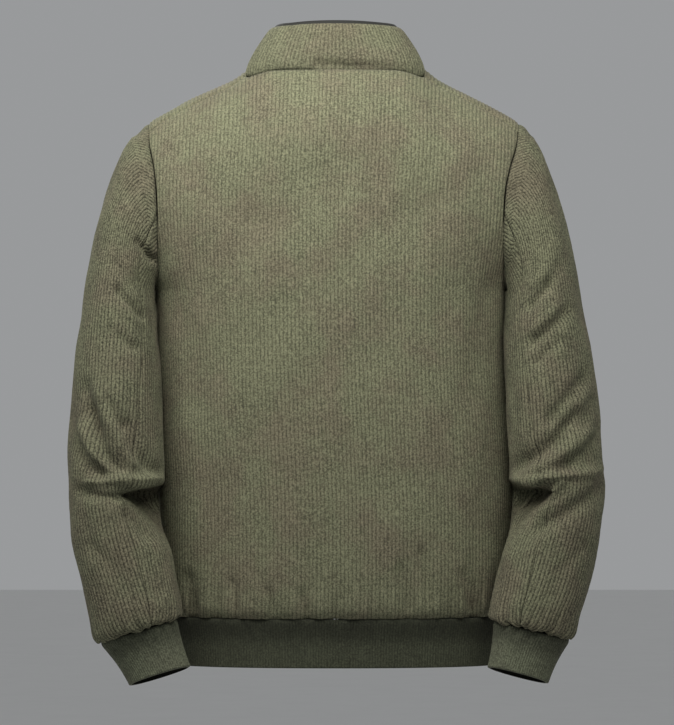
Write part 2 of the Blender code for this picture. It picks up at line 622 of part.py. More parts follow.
def add_wall(name, grid, wall, normal, material, closed=False, lift=0.0, slant=EDGE_SLANT):
    """One cloth piece: a closed wall whose outer face is the grid, and whose inner face lies below it.

    normal holds the outward directions at the grid's points; lift moves the whole wall out of (or, below
    zero, under) the form; slant holds the inner face's edge back from the outer one's."""
    outer = step_in(grid + normal * lift, SEAM_GAP / 2, closed)
    inner = step_in(grid + normal * (lift - wall), SEAM_GAP / 2 + slant, closed)
    rows, columns = grid.shape[:2]
    if closed:
        columns -= 1
    mesh = bmesh.new()
    faces = {}
    for key, points in (("out", outer), ("in", inner)):
        faces[key] = [[mesh.verts.new(points[r, c]) for c in range(columns)] for r in range(rows)]
    spans = columns if closed else columns - 1
    for r in range(rows - 1):
        for c in range(spans):
            d = (c + 1) % columns
            a, b = faces["out"], faces["in"]
            mesh.faces.new((a[r][c], a[r][d], a[r + 1][d], a[r + 1][c]))
            mesh.faces.new((b[r][c], b[r + 1][c], b[r + 1][d], b[r][d]))
    for r in (0, rows - 1):
        for c in range(spans):
            d = (c + 1) % columns
            mesh.faces.new((faces["out"][r][c], faces["out"][r][d], faces["in"][r][d], faces["in"][r][c]))
    if not closed:
        for c in (0, columns - 1):
            for r in range(rows - 1):
                mesh.faces.new((faces["out"][r][c], faces["out"][r + 1][c], faces["in"][r + 1][c], faces["in"][r][c]))
    bmesh.ops.recalc_face_normals(mesh, faces=mesh.faces)
    return add_object(name, mesh, material)


def add_object(name, mesh, material, smooth=True):
    """Puts a finished mesh into the scene as one sub-part."""
    data = bpy.data.meshes.new(name)
    mesh.to_mesh(data)
    mesh.free()
    if smooth:
        data.shade_smooth()
        data.set_sharp_from_angle(angle=math.radians(40))
    data.materials.append(material)
    piece = bpy.data.objects.new(name, data)
    bpy.context.scene.collection.objects.link(piece)
    return piece


def make_material(name, colour, roughness, metallic=0.0):
    """A plain finish with a colour, a roughness and a metallic value."""
    material = bpy.data.materials.new(name)
    material.use_nodes = True
    shader = material.node_tree.nodes["Principled BSDF"]
    shader.inputs["Base Color"].default_value = (*colour, 1.0)
    shader.inputs["Roughness"].default_value = roughness
    shader.inputs["Metallic"].default_value = metallic
    return material


# ---------------------------------------------------------------- the zip

SLIDER_PLACE = 0.84        # how high on the collar the slider stands
SLIDER_HALF_WIDTH = 0.0042
SLIDER_HALF_LENGTH = 0.0058
SLIDER_WALL = 0.0018
SLIDER_LIFT = -0.0021      # the slider's underside, on the teeth, measured from the collar's face
AXIS_LIFT = 0.0006         # the pull's pin above the collar's face
STRAP_HALF_WIDTH = 0.0010
STRAP_INNER = 0.0032       # half the opening under the slider's bridge
STRAP_WALL = 0.0009
PIN_RADIUS = 0.00055
EYE_HALF = 0.0015          # half the width of the pull's eye
PULL_HALF_WIDTH = 0.0032
PULL_EYE_END = 0.0060
PULL_LENGTH = 0.0260
PULL_HALF_WALL = 0.0005



def extruded(mesh, outline, low, high):
    """A closed outline in the across-along plane, made into a plate between two heights."""
    bottom = [mesh.verts.new((a, b, low)) for a, b in outline]
    top = [mesh.verts.new((a, b, high)) for a, b in outline]
    mesh.faces.new(bottom)
    mesh.faces.new(top)
    for i in range(len(outline)):
        j = (i + 1) % len(outline)
        mesh.faces.new((bottom[i], bottom[j], top[j], top[i]))


def side_profile(mesh, outline, half_width):
    """A closed outline in the along-out plane, made into a bar across the zip."""
    left = [mesh.verts.new((-half_width, b, c)) for b, c in outline]
    right = [mesh.verts.new((half_width, b, c)) for b, c in outline]
    mesh.faces.new(left)
    mesh.faces.new(right)
    for i in range(len(outline)):
        j = (i + 1) % len(outline)
        mesh.faces.new((left[i], left[j], right[j], right[i]))


def add_slider(name, frame, material):
    """The slider's plate with its bridge, in the zip's own frame (across, along, out)."""
    plate_low = SLIDER_LIFT - AXIS_LIFT
    plate_high = plate_low + SLIDER_WALL
    bridge_low = -plate_high
    bridge_high = bridge_low + STRAP_WALL
    far = STRAP_INNER + STRAP_WALL
    plate = bmesh.new()
    w, l = SLIDER_HALF_WIDTH, SLIDER_HALF_LENGTH
    extruded(plate, ((-w * 0.62, -l), (w * 0.62, -l), (w, l * 0.35), (w * 0.9, l), (-w * 0.9, l), (-w, l * 0.35)),
             plate_low, plate_high)
    bmesh.ops.recalc_face_normals(plate, faces=plate.faces)
    slider = add_object(name, plate, material, smooth=False)
    bridge = bmesh.new()
    foot = plate_high - SLIDER_WALL / 2
    side_profile(bridge, ((-far, foot), (-far, bridge_high - 0.0004), (-far + 0.0004, bridge_high),
                          (far - 0.0004, bridge_high), (far, bridge_high - 0.0004), (far, foot),
                          (STRAP_INNER, foot), (STRAP_INNER, bridge_low), (-STRAP_INNER, bridge_low),
                          (-STRAP_INNER, foot)), STRAP_HALF_WIDTH)
    bmesh.ops.recalc_face_normals(bridge, faces=bridge.faces)
    cutter = add_object(name + "_bridge", bridge, material, smooth=False)
    cutter.hide_render = True
    cutter.display_type = "WIRE"
    join = slider.modifiers.new("bridge", "BOOLEAN")
    join.operation = "UNION"
    join.solver = "EXACT"
    join.object = cutter
    for piece in (slider, cutter):
        piece.matrix_world = frame
    return slider


def add_pull(name, frame, material):
    """The pull tab: a pin under the slider's bridge, an eye round it and a plain tab, hanging down."""
    mesh = bmesh.new()
    w, e, t, r = PULL_HALF_WIDTH, EYE_HALF, PULL_HALF_WALL, PIN_RADIUS
    outside = ((e + 0.0009, 0.0007), (e + 0.0009, -PULL_EYE_END * 0.75), (w, -PULL_EYE_END - 0.001),
               (w, -PULL_LENGTH + 0.0022), (w * 0.45, -PULL_LENGTH))
    inside = ((e, -r), (e, -PULL_EYE_END))
    outer = [*outside, *[(-a, b) for a, b in reversed(outside)]]
    inner = [*inside, *[(-a, b) for a, b in reversed(inside)]]
    rims = {}
    for height in (-t, t):
        rims[height] = ([mesh.verts.new((a, b, height)) for a, b in outer],
                        [mesh.verts.new((a, b, height)) for a, b in inner])
    for height in (-t, t):
        edges = []
        for rim in rims[height]:
            edges += [mesh.edges.new((rim[i], rim[(i + 1) % len(rim)])) for i in range(len(rim))]
        bmesh.ops.triangle_fill(mesh, edges=edges, use_beauty=True)
    for k in range(2):
        low, high = rims[-t][k], rims[t][k]
        for i in range(len(low)):
            j = (i + 1) % len(low)
            mesh.faces.new((low[i], low[j], high[j], high[i]))
    bmesh.ops.recalc_face_normals(mesh, faces=mesh.faces)
    pull = add_object(name, mesh, material, smooth=False)
    pull.matrix_world = frame
    return pull


# ---------------------------------------------------------------- building

SIDES = ((1, "left"), (-1, "right"))


def zip_line(band, front, distance):
    """A line up the closed front at a distance from the middle, from the band's bottom to the collar's
    top edge."""
    line = [[np.interp(distance, row[:, 0], row[:, k]) for k in range(3)] for row in (*band[:-1], *front[:-1])]
    turn = np.asarray(math.pi - math.asin(distance / NECK_HALF))
    line += [collar_point(turn, rise) for rise in np.linspace(0, 1, COLLAR_ROWS + 1)]
    line = np.array(line)
    line[:, 0] = distance
    return line


def wall_on(name, grid, wall, core, material, **options):
    """A wall on a grid of its own, whose outer face looks away from core."""
    normal = face_out(grid_normals(grid, options.get("closed", False)), grid, core)
    add_wall(name, grid, wall, normal, material, **options)


def add_torso(back_half, front_half, cloth):
    """The back panel and the two fronts."""
    back = np.concatenate([mirrored(back_half)[:, :0:-1], back_half], axis=1)
    core = np.zeros((len(back), 3))
    core[:, 2] = np.minimum(back[:, back.shape[1] // 2, 2], TORSO_CORE_TOP)
    wall_on("back_panel", shift_middle(back), CORDUROY, core, cloth)
    for side, word in SIDES:
        half = front_half if side > 0 else mirrored(front_half)
        wall_on("front_" + word, shift_middle(half), CORDUROY, core, cloth)
    return back


def add_collar(turns, cloth, facing_cloth):
    """The collar and its facing, round the neck from one front edge to the other."""
    turns = np.concatenate([-turns[:0:-1], turns])
    rises = np.linspace(0, 1, COLLAR_ROWS + 1)
    collar = np.array([collar_point(turns, rise) for rise in rises])
    core = np.array([[0, COLLAR_CORE_Y, z] for z in np.linspace(*COLLAR_CORE_Z, len(rises))])
    wall_on("collar_stand", shift_middle(collar), CORDUROY, core, cloth)
    end = math.pi - math.asin((TAPE_OUTER + FACING_STEP) / COLLAR_HALF)
    turns = np.concatenate([[-end], turns[1:-1], [end]])
    facing = np.array([collar_point(turns, rise) for rise in (*rises[1:], FACING_STAND)])
    wall_on("collar_facing", shift_middle(facing), FACING, core, facing_cloth,
            lift=-(CORDUROY + FACING_LAY), slant=FACING_SLANT)


def add_hem_band(back, front_half, cloth):
    """The knitted band, hung from the body's lowest row."""
    bottom = np.concatenate([mirrored(front_half)[0], back[0][1:-1], front_half[0][::-1]])
    band = band_grid(bottom)
    core = np.array([[0, 0, row[0, 2]] for row in band])
    wall_on("hem_band", shift_middle(band), KNIT, core, cloth)


def add_zip(tape_cloth, metal):
    """The tapes and the closed teeth, under the two front edges and the collar's ends."""
    below, above = body_rows(-1, BODY_ROWS, ARM_ROWS)
    lines = {d: zip_line(band_grid(below[0]), below + above, d) for d in (0.0, TAPE_INNER, ZIP_HALF, TAPE_OUTER)}
    under = -(KNIT + SEAM_GAP + TAPE_ROOM)
    core = lines[0.0] * np.array([0, 0, 1]) + np.array([0, ZIP_CORE_Y, 0])
    for side, word in SIDES:
        strip = np.stack([lines[d] * [side, 1, 1] for d in (TAPE_INNER, ZIP_HALF, TAPE_OUTER)], axis=1)
        wall_on("zip_tape_" + word, shift_middle(strip), TAPE, core, tape_cloth, lift=under, slant=0.0)
    chain = np.stack([lines[0.0] + [x, 0, 0] for x in (-CHAIN_HALF, CHAIN_HALF)], axis=1)
    wall_on("zip_teeth", shift_middle(chain), CHAIN_WALL, core, metal,
            lift=under + (CHAIN_WALL - TAPE) / 2, slant=0.0)


def slider_frame():
    """Where the slider stands on the collar's front: across the zip, along it and out of it."""
    low, high = [collar_point(np.asarray(math.pi), SLIDER_PLACE - fall) for fall in (0.1, 0.0)]
    along = (high - low) / np.linalg.norm(high - low)
    across = np.array([1.0, 0, 0])
    out = np.cross(across, along)
    frame = np.eye(4)
    frame[:3] = np.stack([across, along, out, shift_middle(high + out * AXIS_LIFT)], axis=1)
    return Matrix(frame.tolist())


def add_arm(side, word, loop, cloth, knit):
    """A two-piece sleeve and its cuff, from the armhole's loop down."""
    grid = sleeve_grid(loop, side)
    normal = face_out(grid_normals(grid, True), grid, grid[:, :-1].mean(axis=1))
    last = len(loop) - 1
    top = slice(UNDER_COLUMNS, last - UNDER_COLUMNS + 1)
    beneath = [*range(last - UNDER_COLUMNS, last), *range(UNDER_COLUMNS + 1)]
    add_wall("sleeve_top_" + word, grid[:, top], CORDUROY, normal[:, top], cloth, slant=SLEEVE_SLANT)
    add_wall("sleeve_under_" + word, grid[:, beneath], CORDUROY, normal[:, beneath], cloth, slant=SLEEVE_SLANT)
    cuff = cuff_grid(grid[-1], LEFT_CUFF_END if side > 0 else RIGHT_CUFF_END, last)
    wall_on("cuff_" + word, cuff, KNIT, cuff[:, :-1].mean(axis=1), knit, closed=True)


def build():
    for old in list(bpy.data.objects):
        bpy.data.objects.remove(old, do_unlink=True)

    corduroy = make_material("corduroy", (0.143, 0.135, 0.088), 0.92)
    knit = make_material("rib_knit", (0.062, 0.066, 0.044), 0.9)
    facing_cloth = make_material("facing_cloth", (0.022, 0.023, 0.016), 0.85)
    tape_cloth = make_material("zip_tape", (0.040, 0.042, 0.028), 0.8)
    metal = make_material("zip_metal", (0.22, 0.21, 0.19), 0.35, 1.0)

    back_half = body_panel(1, 0.0)
    front_half = body_panel(-1, ZIP_HALF)
    back = add_torso(back_half, front_half, corduroy)
    add_collar(neck_turns(back_half, front_half), corduroy, facing_cloth)
    add_hem_band(back, front_half, knit)
    add_zip(tape_cloth, metal)
    add_slider("zip_slider", slider_frame(), metal)
    add_pull("zip_pull", slider_frame(), metal)
    armhole = np.concatenate([back_half[BODY_ROWS:, -1], front_half[BODY_ROWS:, -1][::-1][1:]])
    for side, word in SIDES:
        add_arm(side, word, shift_middle(armhole * np.array([side, 1, 1])), corduroy, knit)


build()
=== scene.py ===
# %% [markdown]
# # A worn corduroy zip jacket
# The jacket hangs on nobody: only its cloth is there, in the shape that a wearer gives it. Every panel is
# built as a thin closed shell of real cloth thickness, and the ribs of the corduroy, called wales, are real
# ridges in its mesh, so that they show at the edges and in the light and not only in a texture.
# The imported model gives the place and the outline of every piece. It is loaded first and never moved.

# %% Load the frame
import json
import math
from collections import namedtuple

import bmesh
import bpy
import mathutils
import numpy as np
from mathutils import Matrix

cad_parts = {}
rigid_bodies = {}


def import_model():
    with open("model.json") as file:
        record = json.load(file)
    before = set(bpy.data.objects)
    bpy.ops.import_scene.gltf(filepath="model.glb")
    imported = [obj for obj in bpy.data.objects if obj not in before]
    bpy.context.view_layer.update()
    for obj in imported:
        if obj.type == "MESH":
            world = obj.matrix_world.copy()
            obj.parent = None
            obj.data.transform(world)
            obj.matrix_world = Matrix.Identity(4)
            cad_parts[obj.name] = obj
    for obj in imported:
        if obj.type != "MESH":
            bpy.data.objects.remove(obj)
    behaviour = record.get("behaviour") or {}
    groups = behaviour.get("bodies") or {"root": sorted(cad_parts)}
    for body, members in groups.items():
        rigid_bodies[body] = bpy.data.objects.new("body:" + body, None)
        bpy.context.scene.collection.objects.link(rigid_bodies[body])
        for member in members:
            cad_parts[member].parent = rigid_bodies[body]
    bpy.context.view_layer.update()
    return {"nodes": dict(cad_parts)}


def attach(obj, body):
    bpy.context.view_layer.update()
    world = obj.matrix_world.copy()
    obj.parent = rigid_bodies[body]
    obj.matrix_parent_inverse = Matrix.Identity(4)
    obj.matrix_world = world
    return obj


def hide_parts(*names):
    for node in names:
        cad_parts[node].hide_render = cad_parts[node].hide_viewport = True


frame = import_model()
SIDES = {1: "left", -1: "right"}    # the wearer's sides, by their sign along X


print("nodes:", sorted(frame["nodes"]))

# %% [markdown]
# ## Reading short tables
# A garment is drawn in sections: so wide at the hem, so wide at the chest. A short table holds one row for
# each section, in millimetres, and a smooth curve is read between the rows. The curve is a cubic that never
# overshoots its rows, because an overshoot would show as a bulge that no tailor has cut.

# %% Read a table smoothly
def table(columns, *rows, unit=1000):
    """A table with named columns, written in millimetres and kept in metres."""
    return dict(zip(columns.split(), np.array(rows, float).T / unit))


def smooth_read(keys, values, at):
    """Reads a table at the places `at`, with a cubic through its rows that doesn't overshoot."""
    at = np.clip(np.asarray(at, float), keys[0], keys[-1])
    steps = np.diff(values) / np.diff(keys)
    slope = np.empty_like(values)
    slope[0], slope[-1] = steps[0], steps[-1]
    flat = steps[:-1] * steps[1:] <= 0
    mean = 2 * steps[:-1] * steps[1:] / np.where(flat, 1, steps[:-1] + steps[1:])
    slope[1:-1] = np.where(flat, 0, mean)
    i = np.clip(np.searchsorted(keys, at, side="right") - 1, 0, len(keys) - 2)
    span = keys[i + 1] - keys[i]
    t = (at - keys[i]) / span
    return ((2 * t**3 - 3 * t**2 + 1) * values[i] + (t**3 - 2 * t**2 + t) * span * slope[i]
            + (3 * t**2 - 2 * t**3) * values[i + 1] + (t**3 - t**2) * span * slope[i + 1])


def column(form, name, at, key="height"):
    """Reads one named column of a table at the wanted values of its key column."""
    return smooth_read(form[key], form[name], at)


bulge = table("height width", (0, 10), (10, 30), (20, 30), (30, 10))
print("between two rows of 30 mm, m:", column(bulge, "width", 0.015))

# %% Measure and read lines of points
def lengths(points):
    """Distance along a line of points, from its start to each point."""
    return np.concatenate([[0.0], np.cumsum(np.linalg.norm(np.diff(points[:, :3], axis=0), axis=1))])


def read_along(points, keys, wanted):
    """Every column of a line's points, read at the wanted values of its rising keys."""
    return np.stack([np.interp(wanted, keys, points[:, k]) for k in range(points.shape[1])], axis=1)


corner = np.array([[0.0, 0, 0], [3, 0, 0], [3, 4, 0]])
print("round a corner:", lengths(corner), "halfway:", read_along(corner, lengths(corner), [3.5])[0])

# %% [markdown]
# ## The form of the body
# The body is a stack of rounded sections, like the frames of a boat. Their outline is a superellipse: a
# little squarer than an ellipse, as a jacket is over a chest. Above the armpits the sections lean in over a
# crest, the line of the shoulders, and the back rolls over it to meet the fronts.

# %% Sections of the body
HEM_SEAM = -0.622          # height of the seam between body and hem band
ARMPIT = -0.250
SQUARENESS = 2.3           # 2 would be an ellipse
TORSO = table(
    "height half_width back front shift",
    (-622, 196.0, 113.0, 123.0, -1.0),
    (-606, 201.5, 118.5, 129.0, -1.5),
    (-560, 203.5, 122.0, 133.5, -2.0),
    (-500, 204.0, 123.5, 135.5, -2.0),
    (-440, 203.5, 124.5, 136.5, 0.0),
    (-370, 201.0, 124.5, 137.0, 2.5),
    (-300, 200.0, 123.5, 136.5, 4.5),
    (-250, 201.5, 122.0, 135.0, 5.0),
    (-235, 206.0, 121.0, 134.0, 5.1),
    (-200, 219.0, 118.5, 131.0, 5.2),
    (-150, 238.0, 114.0, 126.0, 5.0),
    (-90, 250.0, 109.0, 120.0, 2.5),
    (20, 250.0, 106.0, 116.0, -1.0),
)
TOP_HALF, TOP_BACK, TOP_FRONT = (TORSO[name][-1] for name in ("half_width", "back", "front"))
ARMHOLE = table(           # how far out the armhole's edge lies
    "height back front",
    (-250, 201.5, 201.5),
    (-230, 199.0, 198.5),
    (-200, 197.2, 193.0),
    (-170, 197.0, 189.0),
    (-140, 198.5, 189.0),
    (-110, 203.2, 194.5),
    (-85, 209.5, 206.0),
    (-67, 212.5, 212.5),
)


def on_face(form, face, z):
    """A table's back column at the heights z where face is above zero, and its front column elsewhere."""
    return np.where(np.asarray(face) > 0, column(form, "back", z), column(form, "front", z))


def shift_middle(points):
    """Leans the body a little to one side, by its height."""
    moved = np.array(points, float)
    moved[..., 0] += column(TORSO, "shift", moved[..., 2])
    return moved


print("half widths from hem to shoulder, m:", TORSO["half_width"])

# %% The crest of the shoulders
ROUNDNESS = 2.1            # of the roll over the crest
BACK_ROUNDING = 0.130      # the back starts to roll so far under the crest
CREST = table(
    "out height along front_rounding",
    (-50.0, 29.8, -19, 255),
    (0.0, 34.2, -20, 285),
    (50.0, 29.8, -19, 255),
    (72.5, 24.0, -18, 225),
    (102.5, 4.5, -16, 185),
    (117.3, -6.5, -15, 170),
    (154.0, -24.0, -12, 145),
    (185.0, -39.6, -9, 135),
    (212.5, -56.3, -7, 130),
    (250.0, -88.0, -6, 130),
)


def crest(name, x):
    """One column of the crest, at the distance x from the middle."""
    return column(CREST, name, x, key="out")


def rounding(face, x):
    """How far under the crest one face starts to roll over it."""
    return np.where(np.asarray(face) > 0, BACK_ROUNDING, crest("front_rounding", x))


def under_crest(x, drop, angle):
    """Height of the roll at an angle from its face, where it is so far up and down."""
    return crest("height", x) - drop * (1 - np.sin(angle) ** (2 / ROUNDNESS))


def rounding_place(x, y):
    """Where a point over the crest lies on the roll: its face, and its angle from that face."""
    along = crest("along", x)
    face = np.where(y >= along, 1, -1)
    round_off = np.maximum(1 - (np.abs(x) / TOP_HALF) ** SQUARENESS, 0) ** (1 / SQUARENESS)
    level = face * np.where(face > 0, TOP_BACK, TOP_FRONT) * round_off
    share = np.clip((y - along) / (level - along), 0, 1)
    return face, np.arccos(share ** (ROUNDNESS / 2))


print("crest, from the middle out, m:", crest("height", np.linspace(0, TOP_HALF, 6)).round(4))

# %% The neck seam
SHOULDER_TIP = 0.2125
SHOULDER_SEAM_Y = 0.024    # depth of the seam between back and front
NECK_HALF = 0.1025         # half the width of the neck seam
NECK_BACK_Y = 0.066
NECK_FRONT_Y = -0.098


def round_neck(turn, side, back, front, back_power=1, front_power=1):
    """A value round the neck: turn 0 is the middle of the back, pi / 2 the side, pi the middle in front."""
    return (side + (back - side) * np.maximum(np.cos(turn), 0) ** back_power
            + (front - side) * np.maximum(-np.cos(turn), 0) ** front_power)


def neck_seam(turn):
    """Points of the neck seam."""
    x = NECK_HALF * np.sin(turn)
    y = round_neck(turn, SHOULDER_SEAM_Y, NECK_BACK_Y, NECK_FRONT_Y)
    face, angle = rounding_place(np.abs(x), y)
    return np.stack([x, y, under_crest(np.abs(x), rounding(face, np.abs(x)), angle)], axis=-1)


print("neck seam, back and front, m:", neck_seam(np.array([0, math.pi])).round(4).tolist())

# %% [markdown]
# ## Rows of the body
# The form is read as rows of guide points, about 5 mm apart from the hem seam to the shoulder. Each guide
# point also carries the direction that the cloth faces there, and its depth in the plain section, which is
# used to measure how far round the body it is.

# %% Places round the body, and the columns over the shoulder
BODY_ROWS = 68             # hem seam to armpit
ARM_ROWS = 48              # armpit to shoulder
NECK_GUIDES = 40
SHOULDER_GUIDES = 24
SIDE_GUIDES = 40
STRAIGHT_STEPS = 24        # of a column, from the armpit to where it starts to roll
ROUND_STEPS = 60           # and over the roll


def guide_angles():
    """Angles round the half section, from its middle to its side, with one at the neck's side."""
    neck = NECK_HALF * np.sin(np.linspace(0, math.pi / 2, NECK_GUIDES + 1))
    shoulder = np.linspace(NECK_HALF, SHOULDER_TIP, SHOULDER_GUIDES + 1)[1:]
    angles = np.arcsin((np.concatenate([neck, shoulder]) / TOP_HALF) ** (SQUARENESS / 2))
    return np.concatenate([angles, np.linspace(angles[-1], math.pi / 2, SIDE_GUIDES + 1)[1:]])


def upper_column(wide, deep, face):
    """One column of the body from the armpit up to the neck or shoulder seam: x, y, z, section depth."""
    x = TOP_HALF * wide
    seam_y = np.asarray(SHOULDER_SEAM_Y)
    if x < NECK_HALF:
        side_turn = math.asin(x / NECK_HALF)
        seam_y = neck_seam(np.asarray(side_turn if face > 0 else math.pi - side_turn))[1]
    seam_face, seam_turn = rounding_place(np.asarray(x), seam_y)
    straight = np.linspace(ARMPIT, crest("height", x) - rounding(face, x), STRAIGHT_STEPS, endpoint=False)
    turns = np.linspace(0, float(seam_turn) if seam_face == face else math.pi - float(seam_turn), ROUND_STEPS)
    past = turns > math.pi / 2
    rolled = under_crest(x, np.where(past, rounding(-face, x), rounding(face, x)), turns)
    z = np.concatenate([straight, rolled])
    keep = np.concatenate([np.ones(STRAIGHT_STEPS), np.abs(np.cos(turns)) ** (2 / ROUNDNESS)])
    past = np.concatenate([np.zeros(STRAIGHT_STEPS, bool), past])
    near, far = (way * on_face(TORSO, way, z) for way in (face, -face))
    along = crest("along", x)
    y = along + (np.where(past, far, near) * deep - along) * keep
    return np.stack([column(TORSO, "half_width", z) * wide, y, z, near * deep], axis=1)


angles = guide_angles()
print("guides round the half body:", len(angles))

# %% Directions that a grid of points faces
def grid_normals(grid, closed=False):
    """Unit normals of a grid of points; closed where its last column repeats its first."""
    if closed:
        ring = grid[:, :-1, :3]
        across = np.roll(ring, -1, axis=1) - np.roll(ring, 1, axis=1)
        across = np.concatenate([across, across[:, :1]], axis=1)
    else:
        across = np.gradient(grid[..., :3], axis=1)
    normal = np.cross(across, np.gradient(grid[..., :3], axis=0))
    return normal / np.maximum(np.linalg.norm(normal, axis=-1, keepdims=True), 1e-12)


def face_out(normal, grid, core):
    """Turns normals so that they look away from core: a point, or a line with a point for each row."""
    core = np.asarray(core, float)
    core = core[:, None, :] if core.ndim == 2 else core
    return normal if np.sum(normal * (grid[..., :3] - core)) > 0 else -normal


square = np.array([[(0.0, 0, 0), (1, 0, 0)], [(0, 1, 0), (1, 1, 0)]])
print("a square on the floor faces:", grid_normals(square)[0, 0])

# %% Read the body as rows
BODY_CORE = (0.0, 0.0, -0.16)   # a point inside the body
ARMPIT_ROOM = 0.02         # so far over the armpit a row can meet the armhole twice


def body_rows(face):
    """Half of the body on one face, as rows of guides: x, y, z, section depth and normal."""
    wide = np.sin(angles) ** (2 / SQUARENESS)
    deep = np.maximum(np.cos(angles), 0) ** (2 / SQUARENESS)
    z = np.linspace(HEM_SEAM, ARMPIT, BODY_ROWS + 1)[:-1, None]
    depth = face * on_face(TORSO, face, z) * deep
    below = np.stack([column(TORSO, "half_width", z) * wide, depth, z + 0 * wide, depth], axis=2)
    columns = []
    for place in zip(wide, deep):
        line = upper_column(*place, face)
        along = lengths(line)
        columns.append(read_along(line, along, np.linspace(0, along[-1], ARM_ROWS + 1)))
    rows = np.concatenate([below, np.stack(columns, axis=1)])
    normal = face_out(grid_normals(rows), rows, BODY_CORE)
    normal[:, 0, 0] = 0
    normal /= np.linalg.norm(normal, axis=-1, keepdims=True)
    return np.concatenate([rows, normal], axis=2)


def cut_at_armhole(row, face):
    """Ends a row of guide points where it meets the armhole."""
    past = row[:, 0] - on_face(ARMHOLE, face, row[:, 2])
    hits = np.nonzero((past[1:] > 0) & (past[:-1] <= 0))[0]
    if len(hits) == 0:
        return row
    i = hits[-1] if row[0, 2] < ARMPIT + ARMPIT_ROOM else hits[0]
    end = row[i] + (row[i + 1] - row[i]) * (-past[i] / (past[i + 1] - past[i]))
    return np.vstack([row[: i + 1], end])


def half_body(face):
    """The half body's rows, cut at the armhole above the armpit."""
    rows = body_rows(face)
    return [row if r <= BODY_ROWS else cut_at_armhole(row, face) for r, row in enumerate(rows)]


half_back, half_front = half_body(1), half_body(-1)
print("rows on each half:", len(half_back), "guides in the lowest:", len(half_back[0]))

# %% [markdown]
# ## Cloth with wales
# Corduroy's ribs run along the cloth, so a panel is meshed in columns that follow them: four columns to a
# wale, low in the track between two wales and high on the pile. Where a seam cuts the panel slantwise, the
# columns end on the seam, as cut wales do. The columns are a fixed distance apart, measured round the body,
# which keeps the wales upright and evenly spaced on any shape.

# %% Lay wales on rows of points
WALE = 0.00445             # from one wale to the next
STEPS = 4                  # columns to a wale
STEP = WALE / STEPS
SNAP = 0.35                # a column nearer than this share of a step to a seam ends on the seam

Grid = namedtuple("Grid", "points normals across along new")


def wale_grid(rows, arcs, step):
    """Columns a fixed step apart on rows of points that carry x, y, z and a normal.

    arcs is the distance of each point round the form from the wales' own middle line. A row's columns that
    would lie past its end fall on its end."""
    first = math.floor(min(arc[0] for arc in arcs) / step)
    last = math.ceil(max(arc[-1] for arc in arcs) / step)
    wanted = np.arange(first, last + 1) * step
    points, across, new = [], [], []
    for row, arc in zip(rows, arcs):
        low, high = arc[0], arc[-1]
        at = np.where(wanted < low + SNAP * step, low, np.where(wanted > high - SNAP * step, high, wanted))
        points.append(read_along(row, arc, at))
        across.append(at)
        new.append(np.concatenate([[True], np.diff(at) > 1e-9]))
    points = np.array(points)
    normals = points[..., 3:6] / np.linalg.norm(points[..., 3:6], axis=-1, keepdims=True)
    fall = np.linalg.norm(np.diff(points[..., :3], axis=0), axis=-1).mean(axis=1)
    along = np.concatenate([[0.0], np.cumsum(fall)])[:, None] + np.zeros(points.shape[1])
    return Grid(points[..., :3].copy(), normals, np.array(across), along, np.array(new))


def from_edges(grid):
    """Distance of each point of a grid from the nearer of its two long edges."""
    return np.minimum(grid.across - grid.across[:, :1], grid.across[:, -1:] - grid.across)


print(f"wales {WALE * 1000:.2f} mm apart, columns {STEP * 1000:.2f} mm")

# %% Uneven pile
PROFILE = np.array([0.0, 0.78, 1.0, 0.78])   # height of a wale's four columns
PILE = 0.00075             # height of a wale over its track
WORN = 0.16                # how much the pile's height varies in stretches
WORN_WAVES = 0.05, 0.09    # how long those are, across and along
TUFT = 0.085               # and from point to point
EDGE_PILE = 0.25           # what is left of the pile at a seam
NOISE_WAVES = 7
NOISE_CALM = 3.0           # brings their sum to about -1 to 1


def soft_noise(across, along, wave_across, wave_along, seed):
    """Smooth uneven values between about -1 and 1 over a piece, from a few waves of its own."""
    waves = np.random.default_rng(seed)
    total = np.zeros_like(across)
    for _ in range(NOISE_WAVES):
        a, b, phase = waves.normal(0, 1, 3)
        total += np.sin(2 * math.pi * (a * across / wave_across + b * along / wave_along) + phase * 6)
    return total / NOISE_CALM


def wale_height(grid, step, seed):
    """How high the pile stands at each point, with worn stretches and single tufts."""
    phase = np.round(grid.across / step).astype(int) % STEPS
    worn = 1 + WORN * soft_noise(grid.across, grid.along, *WORN_WAVES, seed)
    tufts = np.random.default_rng(seed).normal(0, TUFT, phase.shape)
    height = np.clip(PROFILE[phase] * worn + tufts, 0, 1.3)
    height[:, [0, -1]] = EDGE_PILE
    return height


print("a wale's columns stand, mm:", PROFILE * PILE * 1000)

# %% [markdown]
# ## A shell that is closed
# Real cloth has a wrong side and a cut edge. Each piece is a closed shell: the ribbed right side, a plain
# and coarser wrong side a cloth's thickness below it, and a band of triangles along the edges that joins
# the two. The wrong side has all the rows of the right side, so that it follows every crease.

# %% Number the points and join them
def numbered(new, start):
    """Numbers for a grid's points, where the points that fall together share one number."""
    counts = new.sum(axis=1)
    base = start + np.concatenate([[0], np.cumsum(counts)[:-1]])
    return base[:, None] + np.cumsum(new, axis=1) - 1


def cells(number):
    """Quads and triangles between the rows of a numbered grid."""
    a, b = number[:-1, :-1].ravel(), number[:-1, 1:].ravel()
    d, c = number[1:, :-1].ravel(), number[1:, 1:].ravel()
    quad = (a != b) & (c != d)
    up, down = (a == b) & (c != d), (a != b) & (c == d)
    return (np.stack([a, b, c, d], 1)[quad].tolist() + np.stack([a, c, d], 1)[up].tolist()
            + np.stack([a, b, c], 1)[down].tolist())


